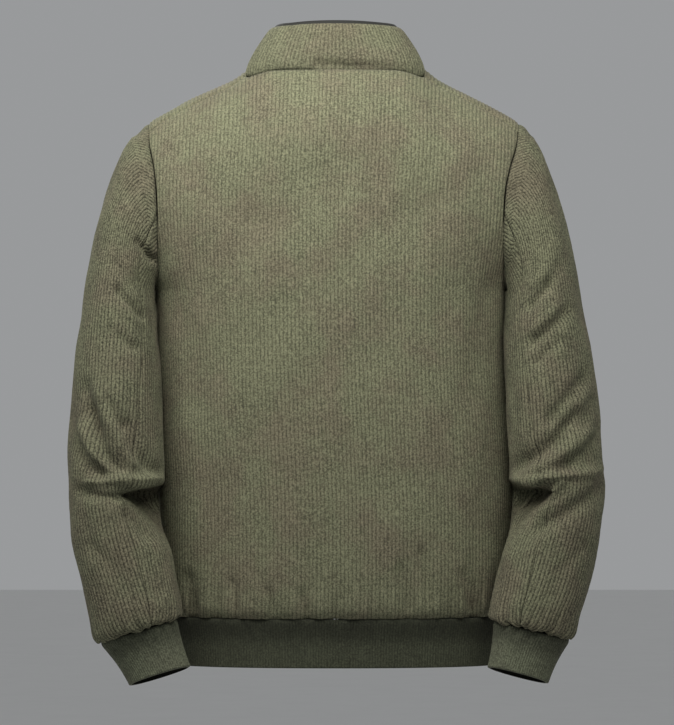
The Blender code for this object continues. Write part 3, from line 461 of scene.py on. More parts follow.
def rim(number):
    """The four edges of a numbered grid, walked round it in one direction."""
    sides = [number[0], number[:, -1], number[-1][::-1], number[:, 0][::-1]]
    return [side[np.concatenate([[True], np.diff(side) != 0])].tolist() for side in sides]


def shares_of(line):
    """How far along a line each of its points lies, from 0 to 1."""
    along = lengths(line)
    return along / max(along[-1], 1e-9)


def join_edges(first, second, points):
    """A band of triangles between two edges that run side by side."""
    ta, tb = shares_of(points[first]), shares_of(points[second])
    i = j = 0
    made = []
    while i < len(first) - 1 or j < len(second) - 1:
        if j == len(second) - 1 or (i < len(first) - 1 and ta[i + 1] <= tb[j + 1]):
            made.append((first[i], first[i + 1], second[j]))
            i += 1
        else:
            made.append((first[i], second[j + 1], second[j]))
            j += 1
    return made


print("cells of 2 x 3 points:", cells(numbered(np.ones((2, 3), bool), 0)))

# %% Make an object from points and faces
def make_object(name, points, faces, **values):
    """A mesh object with named values on its points, all its faces looking out."""
    data = bpy.data.meshes.new(name)
    data.from_pydata(points.tolist(), [], faces)
    for key, value in values.items():
        layer = data.attributes.new(key, "FLOAT", "POINT")
        layer.data.foreach_set("value", np.asarray(value, np.float32))
    mesh = bmesh.new()
    mesh.from_mesh(data)
    bmesh.ops.recalc_face_normals(mesh, faces=mesh.faces)
    mesh.to_mesh(data)
    mesh.free()
    data.shade_smooth()
    piece = bpy.data.objects.new(name, data)
    bpy.context.scene.collection.objects.link(piece)
    triangles = sum(len(face) - 2 for face in faces)
    print(f"{name}: {triangles} triangles")
    return piece


# %% Draw the edges of a piece in
SEAM_GAP = 0.0003          # between neighbouring pieces


def drawn_in(grid):
    """A wale grid's points with its four edges drawn in by half a seam gap, also where columns end early."""
    points = grid.points.copy()
    gap = SEAM_GAP / 2
    for edge, inner in ((0, 1), (-1, -2)):
        line = grid.points[inner] - grid.points[edge]
        points[edge] += line / np.maximum(np.linalg.norm(line, axis=-1, keepdims=True), 1e-9) * gap
    for r, turned in enumerate(grid.new.cumsum(axis=1)):
        fresh = np.nonzero(grid.new[r])[0]
        for here, towards in ((fresh[0], fresh[1]), (fresh[-1], fresh[-2])):
            line = grid.points[r, towards] - grid.points[r, here]
            size = np.linalg.norm(line)
            points[r, turned == turned[here]] += line / max(size, 1e-9) * min(gap, size * 0.5)
    return points


print(f"between two pieces: {SEAM_GAP * 1000:.1f} mm")

# %% Close a shell of cloth
CLOTH = 0.0017             # thickness of the cloth under its pile
INSIDE_STEP = 0.004        # from one point to the next across the wrong side
EDGE_DROP = 0.0003         # how far the right side rolls down at its edges


def cloth_piece(name, grid, height, thickness=CLOTH):
    """One cut piece of cloth as a closed shell over a wale grid."""
    points = drawn_in(grid)
    turned = grid.new.cumsum(axis=1)
    rolled = (turned == turned[:, :1]) | (turned == turned[:, -1:])
    rolled[[0, -1]] = True
    right_side = points + grid.normals * np.where(rolled, -EDGE_DROP, height * PILE)[..., None]

    wide = np.ptp(grid.across, axis=1).max()
    shares = np.linspace(0, 1, max(2, round(wide / INSIDE_STEP)) + 1)
    carried = np.concatenate([points, grid.normals, grid.along[..., None]], axis=2)
    inner = np.array([read_along(row[fresh], across[fresh], across[0] + np.ptp(across) * shares)
                      for row, across, fresh in zip(carried, grid.across, grid.new)])
    wrong_side = inner[..., :3] - inner[..., 3:6] * thickness

    count = int(grid.new.sum())
    tail = np.ones(wrong_side[..., 0].size)
    outer_numbers = numbered(grid.new, 0)
    inner_numbers = numbered(np.ones(wrong_side.shape[:2], bool), count)
    every = np.concatenate([right_side[grid.new], wrong_side.reshape(-1, 3)])
    faces = cells(outer_numbers) + cells(inner_numbers)
    for one, other in zip(rim(outer_numbers), rim(inner_numbers)):
        faces += join_edges(one, other, every)
    print(f"{wide * 1000:.0f} mm wide, {grid.along.max() * 1000:.0f} mm long", end=", ")
    return make_object(name, every, faces,
                       pile=np.concatenate([height[grid.new], 0 * tail]),
                       inside=np.concatenate([np.zeros(count), tail]),
                       along=np.concatenate([grid.along[grid.new], inner[..., 6].ravel()]))


print(f"cloth under its pile: {CLOTH * 1000:.1f} mm")

# %% [markdown]
# ## Creases
# Worn cloth shows where it is pulled: soft troughs run from the elbows and armpits, and small gathers stand
# over the hem band, where the wide body is sewn to a tight band. Each crease is a short line on one face of
# the garment with its own depth and width, pressed into the points along the direction that they face.

# %% Press creases into points
BACK, FRONT = 1, -1
FULL_FACING = 1.6          # a crease is full where the cloth faces it within about 50 degrees
Crease = namedtuple("Crease", "face depth width line")


def creases_on(face, *rows):
    """Creases on one face from rows in millimetres: depth, width, then the line's points as (x, z)."""
    return [Crease(face, depth / 1000, width / 1000, np.array(line) / 1000) for depth, width, *line in rows]


def press(points, normals, creases):
    """Moves points along their normals by every crease: in for a trough, and out where depth is negative."""
    sink = np.zeros(points.shape[:-1])
    flat = points[..., [0, 2]]
    for crease in creases:
        nearest = np.full(sink.shape, 1e9)
        for start, end in zip(crease.line[:-1], crease.line[1:]):
            run = end - start
            share = np.clip(((flat - start) @ run) / (run @ run), 0, 1)
            nearest = np.minimum(nearest, np.linalg.norm(flat - start - share[..., None] * run, axis=-1))
        facing = np.clip(normals[..., 1] * crease.face * FULL_FACING, 0, 1)
        sink += crease.depth * np.exp(-(nearest / crease.width) ** 2) * facing
    return points - normals * sink[..., None]


def groove(distance, depth=0.0011, reach=0.0030):
    """The dip that a seam draws into the cloth beside it."""
    return depth * np.exp(-(distance / reach) ** 2)


print("a seam's groove, 0 to 6 mm beside it, mm:", (groove(np.arange(0, 7, 2) / 1000) * 1000).round(2))

# %% [markdown]
# ## Back and fronts
# The back is one piece from side seam to side seam, cut with its wales upright. The two fronts are cut the
# same way, their wales running beside the zip. The distance round the body is measured in the plain
# sections, so the wales don't drift where the cloth rolls over the shoulders.

# %% Creases of the back and the fronts
BACK_CREASES = creases_on(
    BACK,
    (1.6, 16, (-170, -105), (-120, -150), (-60, -170)),
    (1.6, 16, (165, -110), (118, -160), (70, -178)),
    (1.8, 12, (60, -10), (85, -45), (120, -60)),
    (1.4, 12, (-55, -12), (-85, -40), (-125, -50)),
    (2.2, 14, (190, -250), (165, -300), (158, -380)),
    (2.0, 14, (-180, -240), (-160, -300), (-155, -370)),
    (-1.6, 30, (60, -300), (72, -400), (66, -500)),
    (1.6, 30, (-50, -260), (-60, -380), (-52, -470)),
    (1.6, 18, (-110, -420), (-122, -520), (-118, -600)),
    (1.6, 16, (120, -470), (132, -540), (128, -605)),
    (1.2, 14, (10, -520), (4, -570), (8, -610)),
    (3.4, 6.5, (167, -575), (163, -612)),
    (3.0, 4.8, (116, -580), (111, -612)),
    (3.0, 4.6, (75, -588), (70, -613)),
    (2.8, 4.4, (38, -592), (34, -613)),
    (3.0, 5.6, (-74, -562), (-83, -605)),
    (3.2, 6.2, (-98, -545), (-110, -598)),
    (3.4, 6.5, (-146, -572), (-155, -608)),
)
FRONT_CREASES = creases_on(
    FRONT,
    (2.2, 14, (165, -150), (120, -200), (85, -215)),
    (2.2, 14, (-160, -145), (-115, -190), (-80, -200)),
    (1.8, 16, (175, -240), (140, -290), (118, -360)),
    (1.8, 16, (-172, -235), (-138, -280), (-120, -345)),
    (1.8, 22, (45, -330), (58, -430), (50, -540)),
    (1.6, 24, (-50, -300), (-62, -400), (-52, -500)),
    (1.8, 15, (105, -500), (112, -560), (104, -610)),
    (1.8, 15, (-100, -490), (-112, -550), (-106, -610)),
    (1.6, 13, (40, -70), (68, -100), (98, -105)),
    (1.6, 13, (-40, -70), (-68, -98), (-100, -100)),
)
print("creases on the back and on the fronts:", len(BACK_CREASES), len(FRONT_CREASES))

# %% Sags, gathers and seams of a body panel
SAG = 0.0009               # how far the cloth sags unevenly between its seams
BODY_SAG_WAVES = 0.11, 0.16
BODY_SAG_FADE = 0.03       # no sag at the seams, and all of it so far in
GATHER_WAVE = 0.019        # spacing of the gathers over the hem band
GATHER_DEPTH = 0.0044
GATHER_FADE = 0.023
GATHER_RISE = 2.5          # how steeply they grow from the seam
GATHER_FOOT = 0.2          # and what is left of them at the seam itself
SNUG_TOP = -0.150          # from here down to the armpit the armhole's seam lies flat
SNUG_FADE = 0.03
HEM_GROOVE = 0.0012, 0.004 # depth and reach
NECK_LIP = 0.0004, 0.0025  # the body's edge stands out so far at the neck seam
NECK_FADE = 0.01


def uneven_sag(grid, waves, inward, fade, seed):
    """The uneven sag of a panel, at points that lie so far inward from its seams."""
    return SAG * soft_noise(grid.across, grid.along, *waves, seed) * np.clip(inward / fade, 0, 1)


def gathers(grid, strength, seed):
    """Small upright folds where wide cloth is sewn to a tight band."""
    return GATHER_DEPTH * soft_noise(grid.across, grid.along * 0, GATHER_WAVE, 1, seed) * strength


def seam_depth(points):
    """1 where a seam has its full groove, down to 0 low in the armhole, where a groove would gape."""
    z = points[..., 2]
    return 1 - np.clip((SNUG_TOP - z) / SNUG_FADE, 0, 1) * np.clip((z - ARMPIT) / SNUG_FADE + 1, 0, 1)


def settle_body(grid, creases, seed):
    """Presses the creases, the hem's gathers and the seams' grooves into a body panel."""
    points = press(grid.points, grid.normals, creases)
    over_hem = (points[..., 2] - HEM_SEAM) / GATHER_FADE
    beside, end = from_edges(grid), grid.along[-1, 0] - grid.along
    at_neck = np.clip((NECK_HALF - np.abs(points[..., 0])) / NECK_FADE, 0, 1)
    rise = gathers(grid, np.exp(-over_hem) * np.clip(over_hem * GATHER_RISE, GATHER_FOOT, 1), seed)
    rise += uneven_sag(grid, BODY_SAG_WAVES, np.minimum(beside, end), BODY_SAG_FADE, seed + 1)
    rise -= groove(beside) * seam_depth(points) + groove(grid.along, *HEM_GROOVE)
    rise -= groove(end) * (1 - at_neck) - groove(end, *NECK_LIP) * at_neck
    return grid._replace(points=points + grid.normals * rise[..., None])


# %% Cut the back
def section_arc(row):
    """Distance of each guide point from the middle, measured round the plain section."""
    return np.concatenate([[0.0], np.cumsum(np.hypot(np.diff(row[:, 0]), np.diff(row[:, 3])))])


def mirrored(row):
    """The other side's half of a row, walked from its side to the middle."""
    flip = row.copy()[::-1]
    flip[:, [0, 4]] *= -1
    return flip


def whole_row(row):
    """A half row and its mirror image in one, with their distances from the middle."""
    arc = section_arc(row)
    return np.concatenate([mirrored(row)[:-1], row]), np.concatenate([-arc[:0:-1], arc])


def body_piece(name, rows, creases, seed):
    """One body panel from rows of guides, each with its distances round the section, and its grid."""
    guides, arcs = zip(*rows)
    grid = wale_grid([row[:, [0, 1, 2, 4, 5, 6]] for row in guides], arcs, STEP)
    grid = settle_body(grid._replace(points=shift_middle(grid.points)), creases, seed)
    return cloth_piece(name, grid, wale_height(grid, STEP, seed)), grid


back_cloth, _ = body_piece("back_cloth", [whole_row(row) for row in half_back], BACK_CREASES, 11)

# %% Cut the fronts
ZIP_HALF = 0.0075          # half the width between the two front edges


def front_row(row, side):
    """A row of one front, from the zip to its side seam, with its distances from the zip."""
    begin = np.interp(ZIP_HALF, row[:, 0], np.arange(len(row)))
    row = np.concatenate([read_along(row, np.arange(len(row)), [begin]), row[int(begin) + 1:]])
    arc = section_arc(row)
    return (row, arc) if side > 0 else (mirrored(row), -arc[::-1])


fronts = {}
for side, word in SIDES.items():
    rows = [front_row(row, side) for row in half_front]
    fronts[side] = body_piece("front_cloth_" + word, rows, FRONT_CREASES, 20 + side)

# %% [markdown]
# ## The stand collar
# The collar is a strip of the same corduroy that leans in towards the neck. Its wales stand upright too. A
# plain dark facing lines it and stands a few millimetres higher; its near-black colour is partly painted
# shade, and it shows as a dark line over the collar.

# %% The collar's form
COLLAR_HALF = 0.0745       # half the width of its top edge
COLLAR_TOP_Y = dict(side=0.0040, back=0.0510, front=-0.0860)
COLLAR_TOP_Z = dict(side=0.0525, back=0.0556, front=-0.0120, back_power=1.2, front_power=1.6)
COLLAR_LEAN = 1.5          # it rises steeply first and leans in towards its top
COLLAR_CORE = -0.012, (-0.03, 0.02)   # y and heights of a line inside it
NECK_TURNS = 721


def collar_point(turn, rise):
    """A point of the collar: turn round the neck, rise 0 at the seam and 1 at the top edge."""
    foot = neck_seam(turn)
    top = np.stack([COLLAR_HALF * np.sin(turn), round_neck(turn, **COLLAR_TOP_Y),
                    round_neck(turn, **COLLAR_TOP_Z)], axis=-1)
    return foot + (top - foot) * np.array([rise**COLLAR_LEAN, rise**COLLAR_LEAN, rise])


def neck_strip(end, rises):
    """Rows of points and normals round the neck, and their distances from the strip's middle."""
    turns = np.linspace(-end, end, NECK_TURNS)
    grid = np.array([collar_point(turns, rise) for rise in rises])
    y, heights = COLLAR_CORE
    normals = face_out(grid_normals(grid), grid, [(0, y, z) for z in np.linspace(*heights, len(rises))])
    middle = lengths(grid[len(rises) // 2])
    return np.concatenate([shift_middle(grid), normals], axis=2), [middle - middle[-1] / 2] * len(rises)


print("top of the collar's back, m:", collar_point(np.asarray(0.0), 1).round(4).tolist())

# %% Cut the collar
COLLAR_ROWS = 15
COLLAR_CREASES = creases_on(
    BACK,
    (5.0, 5, (20, 9), (-12, 6.2), (-40, 3.6), (-70, -1)),
    (1.4, 10, (52, 22), (58, 34), (50, 46)),
    (1.2, 10, (-30, 30), (-48, 36), (-60, 30)),
)
CREASE_FADE = 0.0025       # the creases start so far over the seam
COLLAR_SINK = 0.0026, 0.0055   # how far in behind the body's edge its foot lies, and over what height
SINK_FACING = 1.5          # all of it only at the back


def settle_collar(grid, foot):
    """Presses the collar's creases in, and draws its foot in behind the body's edge."""
    above = np.maximum(grid.along - foot, 0)
    pressed = press(grid.points, grid.normals, COLLAR_CREASES)
    points = grid.points + (pressed - grid.points) * np.clip(above / CREASE_FADE, 0, 1)[..., None]
    sunk = groove(above, *COLLAR_SINK) * np.clip(grid.normals[..., 1] * SINK_FACING, 0, 1)
    return grid._replace(points=points - grid.normals * sunk[..., None])


collar_end = math.pi - math.asin(ZIP_HALF / NECK_HALF)
strip, arcs = neck_strip(collar_end, np.linspace(0, 1, COLLAR_ROWS + 1))
collar_grid = settle_collar(wale_grid(strip, arcs, STEP), 0.0)
collar_cloth = cloth_piece("collar_cloth", collar_grid, wale_height(collar_grid, STEP, 31))

# %% Cut the collar's facing
FACING = 0.0011            # thickness of the facing's cloth
FACING_LAY = 0.0006        # between the collar's wrong side and its facing
FACING_STAND = 1.09        # its height against the collar's
FACING_ROWS = 30
FACING_COLUMN = 0.004
FACING_FOOT = 0.0035       # the facing reaches so far under the neck seam
FACING_STEP = 0.0030       # and ends so far from the zip's tape
TAPE_OUTER = 0.0125        # where a tape's outer edge lies

facing_end = math.pi - math.asin((TAPE_OUTER + FACING_STEP) / COLLAR_HALF)
strip, arcs = neck_strip(facing_end, np.linspace(0, FACING_STAND, FACING_ROWS))
strip[0, :, 2] -= FACING_FOOT
strip[..., :3] -= strip[..., 3:6] * (CLOTH + FACING_LAY)
facing_grid = settle_collar(wale_grid(strip, arcs, FACING_COLUMN), FACING_FOOT)
facing_cloth = cloth_piece("collar_facing_cloth", facing_grid, np.zeros(facing_grid.new.shape), FACING)

# %% [markdown]
# ## Two-piece sleeves
# Each sleeve is a tube of rings that hangs from its armhole. A ring is given by its outermost and innermost
# point and its depth, and the elbow's fold is cut into the rings there. A tailor cuts the tube in two: a wide
# top sleeve and a narrow under sleeve, and the wales run down the middle of each.

# %% Rings of the sleeves
ARMS = table(
    "left_outer_x left_outer_z left_inner_x left_inner_z "
    "right_outer_x right_outer_z right_inner_x right_inner_z middle_y half_depth",
    (236.7, -74.8, 207.8, -252.1, -230.8, -74.8, -198.3, -252.1, 6.0, 69.0),
    (251.5, -108.3, 208.9, -255.1, -243.5, -108.3, -198.7, -255.1, 8.5, 70.5),
    (265.2, -145.3, 209.6, -260.1, -256.0, -145.3, -198.8, -260.1, 12.0, 72.5),
    (274.1, -179.8, 207.9, -267.2, -266.1, -179.8, -197.5, -267.2, 16.5, 73.5),
    (281.8, -222.9, 205.7, -281.2, -274.5, -222.9, -195.8, -281.2, 22.5, 74.0),
    (288.3, -266.0, 203.5, -304.1, -281.6, -266.0, -194.5, -304.1, 30.0, 73.5),
    (294.8, -317.5, 200.2, -339.9, -292.5, -317.5, -194.2, -339.9, 39.0, 72.5),
    (298.8, -368.9, 198.3, -381.6, -299.5, -368.9, -195.4, -381.6, 49.0, 71.0),
    (303.3, -414.2, 196.6, -421.1, -302.4, -414.2, -197.6, -421.1, 57.0, 69.5),
    (303.1, -450.7, 195.9, -453.7, -303.8, -450.7, -199.4, -453.7, 64.0, 68.0),
    (302.4, -471.1, 195.7, -471.1, -306.0, -471.1, -200.2, -471.1, 68.0, 66.5),
    (302.0, -488.0, 195.6, -486.1, -305.3, -488.0, -200.1, -486.1, 71.5, 64.5),
    (299.6, -521.9, 193.9, -515.5, -300.8, -521.9, -197.4, -515.5, 79.0, 60.0),
    (293.5, -555.6, 185.7, -546.8, -294.2, -555.6, -189.7, -550.8, 87.0, 57.0),
    (284.1, -589.3, 178.6, -576.1, -285.2, -589.3, -182.1, -581.0, 95.0, 55.0),
    (275.8, -621.0, 173.5, -601.3, -275.3, -618.0, -176.5, -605.3, 102.0, 52.5),
    (270.8, -640.5, 172.4, -614.9, -270.7, -636.5, -174.4, -617.9, 105.5, 48.0),
    (265.1, -647.8, 178.2, -620.3, -265.2, -644.3, -179.8, -622.7, 107.0, 40.0),
)
RINGS = len(ARMS["middle_y"])
Ring = namedtuple("Ring", "outer_x outer_z inner_x inner_z middle_y half_depth")


def read_ring(side, place):
    """One arm's ring at a place between the table's rows, which are places 1, 2 and so on."""
    names = [SIDES[side] + "_" + name for name in Ring._fields[:4]] + ["middle_y", "half_depth"]
    return Ring(*[float(smooth_read(np.arange(1, RINGS + 1), ARMS[name], place)) for name in names])


print("left elbow, m:", [round(value, 4) for value in read_ring(1, 11)])

# %% How square a ring is, and the elbow's fold
SLEEVE_SQUARENESS = 2.15
FRONT_CORNER = 3.4         # squareness of a ring's front corner on the inner side, at the elbow
CORNER_PLACE = 11.3
CORNER_REACH = 2.6
ARMPIT_CORNER = 1.5        # and what is added to it under the armpit
ARMPIT_REACH = 5.0
Notch = namedtuple("Notch", "start apex end depth ease front")
ELBOW_NOTCH = {
    1: Notch(10.75, 11.70, 14.05, 0.94, 2.0, -0.16),
    -1: Notch(10.50, 11.45, 14.15, 0.95, 1.8, 0.0),
}


def corner_squareness(place):
    """How square a ring's front corner on the inner side is: under the armpit and about the elbow."""
    elbow = math.exp(-((place - CORNER_PLACE) / CORNER_REACH) ** 2)
    armpit = math.exp(-((place / ARMPIT_REACH) ** 2))
    return SLEEVE_SQUARENESS + (FRONT_CORNER - SLEEVE_SQUARENESS) * elbow + ARMPIT_CORNER * armpit


def notch_depth(notch, place):
    """How far the elbow's fold cuts in: under a lip at its start, easing out to its end."""
    rise = min(max((place - notch.start) / (notch.apex - notch.start), 0), 1)
    fall = min(max((notch.end - place) / (notch.end - notch.apex), 0), 1)
    return notch.depth * rise * rise * (3 - 2 * rise) * fall**notch.ease


print("left fold at rings 11 to 14:", [round(notch_depth(ELBOW_NOTCH[1], n), 2) for n in (11, 12, 13, 14)])

# %% Points round a ring
RING_TURNS = 361
NOTCH_SQUARE = 0.35        # how squarely the elbow's notch is cut in, seen along the arm
NOTCH_SOFT = 0.12          # how softly it ends on its way to the front


def ring_points(ring, shares, notch=0.0, corner=SLEEVE_SQUARENESS, front=0.0):
    """One ring of a sleeve, and the distance round it. shares run from the armpit side (0) round the back
    (1), the outer side (2), the front (3) and back to the armpit side (4)."""
    dense = np.linspace(0, 2 * math.pi, RING_TURNS)
    c, s = -np.cos(dense), np.sin(dense)
    power = 2 / np.where((c < 0) & (s < 0), corner, SLEEVE_SQUARENESS)
    wide = np.sign(c) * np.abs(c) ** power
    deep = np.sign(s) * np.abs(s) ** power
    inner = np.clip(-c, 0, 1) ** NOTCH_SQUARE
    from_back = 1 / (1 + np.exp(-(s - front) / NOTCH_SOFT))
    notched = wide * (1 - notch * inner * from_back * (c < 0))
    half = np.array([ring.outer_x - ring.inner_x, 0, ring.outer_z - ring.inner_z]) / 2
    middle = np.array([(ring.outer_x + ring.inner_x) / 2, ring.middle_y, (ring.outer_z + ring.inner_z) / 2])
    depth = deep[:, None] * np.array([0, ring.half_depth, 0])
    loop = middle + notched[:, None] * half + depth
    along = lengths(wide[:, None] * half + depth)
    quarter = np.interp(np.arange(5) * math.pi / 2, dense, along)
    wanted = np.interp(shares, np.arange(5), quarter)
    return np.concatenate([read_along(loop, along, wanted), wanted[:, None]], axis=1)


print("length round the first ring, m:", round(ring_points(read_ring(1, 1), [4])[0, 3], 4))

# %% Where the sleeve seams run
PARTS = 22                 # divisions of the armhole, half of them on the back
UNDER_PARTS = 5            # divisions of the under sleeve on each side of the arm's inner line
FINE = 8                   # points to a division
SEAM_TRACK = table(        # each seam's share of the half ring, and how its front columns spread
    "place back front spread",
    (0.0, 2 * UNDER_PARTS / PARTS, 0.455, 0.40),
    (1.5, 0.41, 0.455, 0.40),
    (3.5, 0.335, 0.45, 0.43),
    (5.5, 0.305, 0.44, 0.50),
    (8.0, 0.345, 0.43, 0.85),
    (11.0, 0.39, 0.41, 1.0),
    (18.0, 0.40, 0.40, 1.0),
    unit=1,
)


def sleeve_shares(place):
    """Where the fine columns lie round a ring: the two sleeve seams keep their columns."""
    half = PARTS // 2
    marks = np.arange(half + 1)
    index = np.linspace(0, half, half * FINE + 1)
    back, front, power = (float(column(SEAM_TRACK, name, place, key="place"))
                          for name in ("back", "front", "spread"))
    back_shares = 2 * np.interp(index, [0, UNDER_PARTS, half], [0, back, 1])
    beneath = front * np.interp(index, marks, (np.minimum(marks, UNDER_PARTS) / UNDER_PARTS) ** power)
    beyond = (1 - front) * np.maximum(index - UNDER_PARTS, 0) / (half - UNDER_PARTS)
    return np.concatenate([back_shares, 4 - 2 * (beneath + beyond)[::-1][1:]])


def armhole_loop(side):
    """The armhole's edge, from the armpit up the back to the shoulder and down the front."""
    shares = np.linspace(0, 1, PARTS // 2 * FINE + 1)
    lines = []
    for rows in (half_back, half_front):
        edge = np.array([row[-1, :3] for row in rows[BODY_ROWS:]])
        lines.append(read_along(edge, np.linspace(0, 1, len(edge)), shares))
    loop = np.concatenate([lines[0], lines[1][::-1][1:]])
    return shift_middle(loop * np.array([side, 1, 1]))


print("points round each sleeve:", len(armhole_loop(1)))

# %% Keep a sleeve clear of the body
SLEEVE_CLEARANCE = 0.0004  # the sleeves rest against the body
CLEARANCE_FADE = 0.030     # from nothing at the armpit, over so much height
ARMHOLE_CLEARANCE = 0.0010


def keep_clear(points, side):
    """Moves a sleeve's points off the body's side, so that the two stay just clear of each other."""
    z, face = points[..., 2], points[..., 1]
    middle = column(TORSO, "shift", z)
    share = np.clip(1 - (np.abs(face) / on_face(TORSO, face, z)) ** SQUARENESS, 0, 1) ** (1 / SQUARENESS)
    room = SLEEVE_CLEARANCE * np.clip((ARMPIT - z) / CLEARANCE_FADE, 0, 1)
    edge = on_face(ARMHOLE, face, z) + ARMHOLE_CLEARANCE
    least = np.where(z < ARMPIT, column(TORSO, "half_width", z) * share + room, edge)
    moved = points.copy()
    moved[..., 0] = middle + side * np.maximum(side * (points[..., 0] - middle), least)
    return moved


print("a point 0.1 m out, moved clear:", keep_clear(np.array([0.1, 0.0, -0.4]), 1).round(4).tolist())

# %% Form the sleeves
REST_HEIGHT = -0.262       # where a sleeve leans hardest on the body's side, under the armpit
REST_REACH = 0.034
REST_DEPTH = 0.0032
ARM_JOIN = 5.0             # the armhole's own shape fades out over so many rings on the inner side
CAP_JOIN = 1.5             # and over so many on the outer side
FOLD_TOP, FOLD_FOOT = 10.4, 12.2   # the fine rings are close together about the elbow's fold
ABOVE_FOLD, IN_FOLD, UNDER_FOLD = 84, 40, 46
SLEEVE_PLACES = np.concatenate([
    np.linspace(0, FOLD_TOP, ABOVE_FOLD),
    np.linspace(FOLD_TOP, FOLD_FOOT, IN_FOLD)[1:],
    np.linspace(FOLD_FOOT, RINGS, UNDER_FOLD)[1:],
])


def sleeve_form(side):
    """The sleeve's fine rings from the armhole's loop to the cuff seam, and the distance round each."""
    loop, notch = armhole_loop(side), ELBOW_NOTCH[side]
    first = ring_points(read_ring(side, 1), sleeve_shares(0), 0.0, corner_squareness(0))[:, :3]
    inner = (1 + np.cos(sleeve_shares(0) * math.pi / 2)) / 2    # 1 on the inner line, 0 on the outer one
    join = CAP_JOIN + (ARM_JOIN - CAP_JOIN) * inner
    rows = [np.concatenate([loop, lengths(loop)[:, None]], axis=1)]
    for place in SLEEVE_PLACES[1:]:
        shape = sleeve_shares(place), notch_depth(notch, place), corner_squareness(place), notch.front
        outer_ring = ring_points(read_ring(side, max(place, 1)), *shape)
        inner_ring = ring_points(read_ring(side, place + max(0, 1 - place / ARM_JOIN)), *shape)
        ring = outer_ring + (inner_ring - outer_ring) * inner[:, None]
        settle = np.minimum(place / join, 1.0)
        hold = (1 - settle) ** 2 * (1 + settle)
        ring[:, :3] += (loop - first) * hold[:, None]
        if place < CAP_JOIN:
            ring[:, 3] = lengths(ring)
        rows.append(ring)
    form = np.array(rows)
    resting = REST_DEPTH * np.exp(-((form[1:, :, 2] - REST_HEIGHT) / REST_REACH) ** 2)
    form[1:, :, 0] -= side * resting * inner**2
    form[1:, :, :3] = keep_clear(form[1:, :, :3], side)
    return form


sleeve_forms = {side: sleeve_form(side) for side in SIDES}
print("points on each sleeve's form:", sleeve_forms[1].shape)

# %% [markdown]
# ## The sleeves' creases
# A hanging sleeve shows more creases than any other part. Short puckers run out of the hindarm seam, long
# troughs fall from the outer side towards the elbow, and the cloth piles up in a rounded lip over the fold.
# Both arms have their own set, because no two sleeves crease alike.

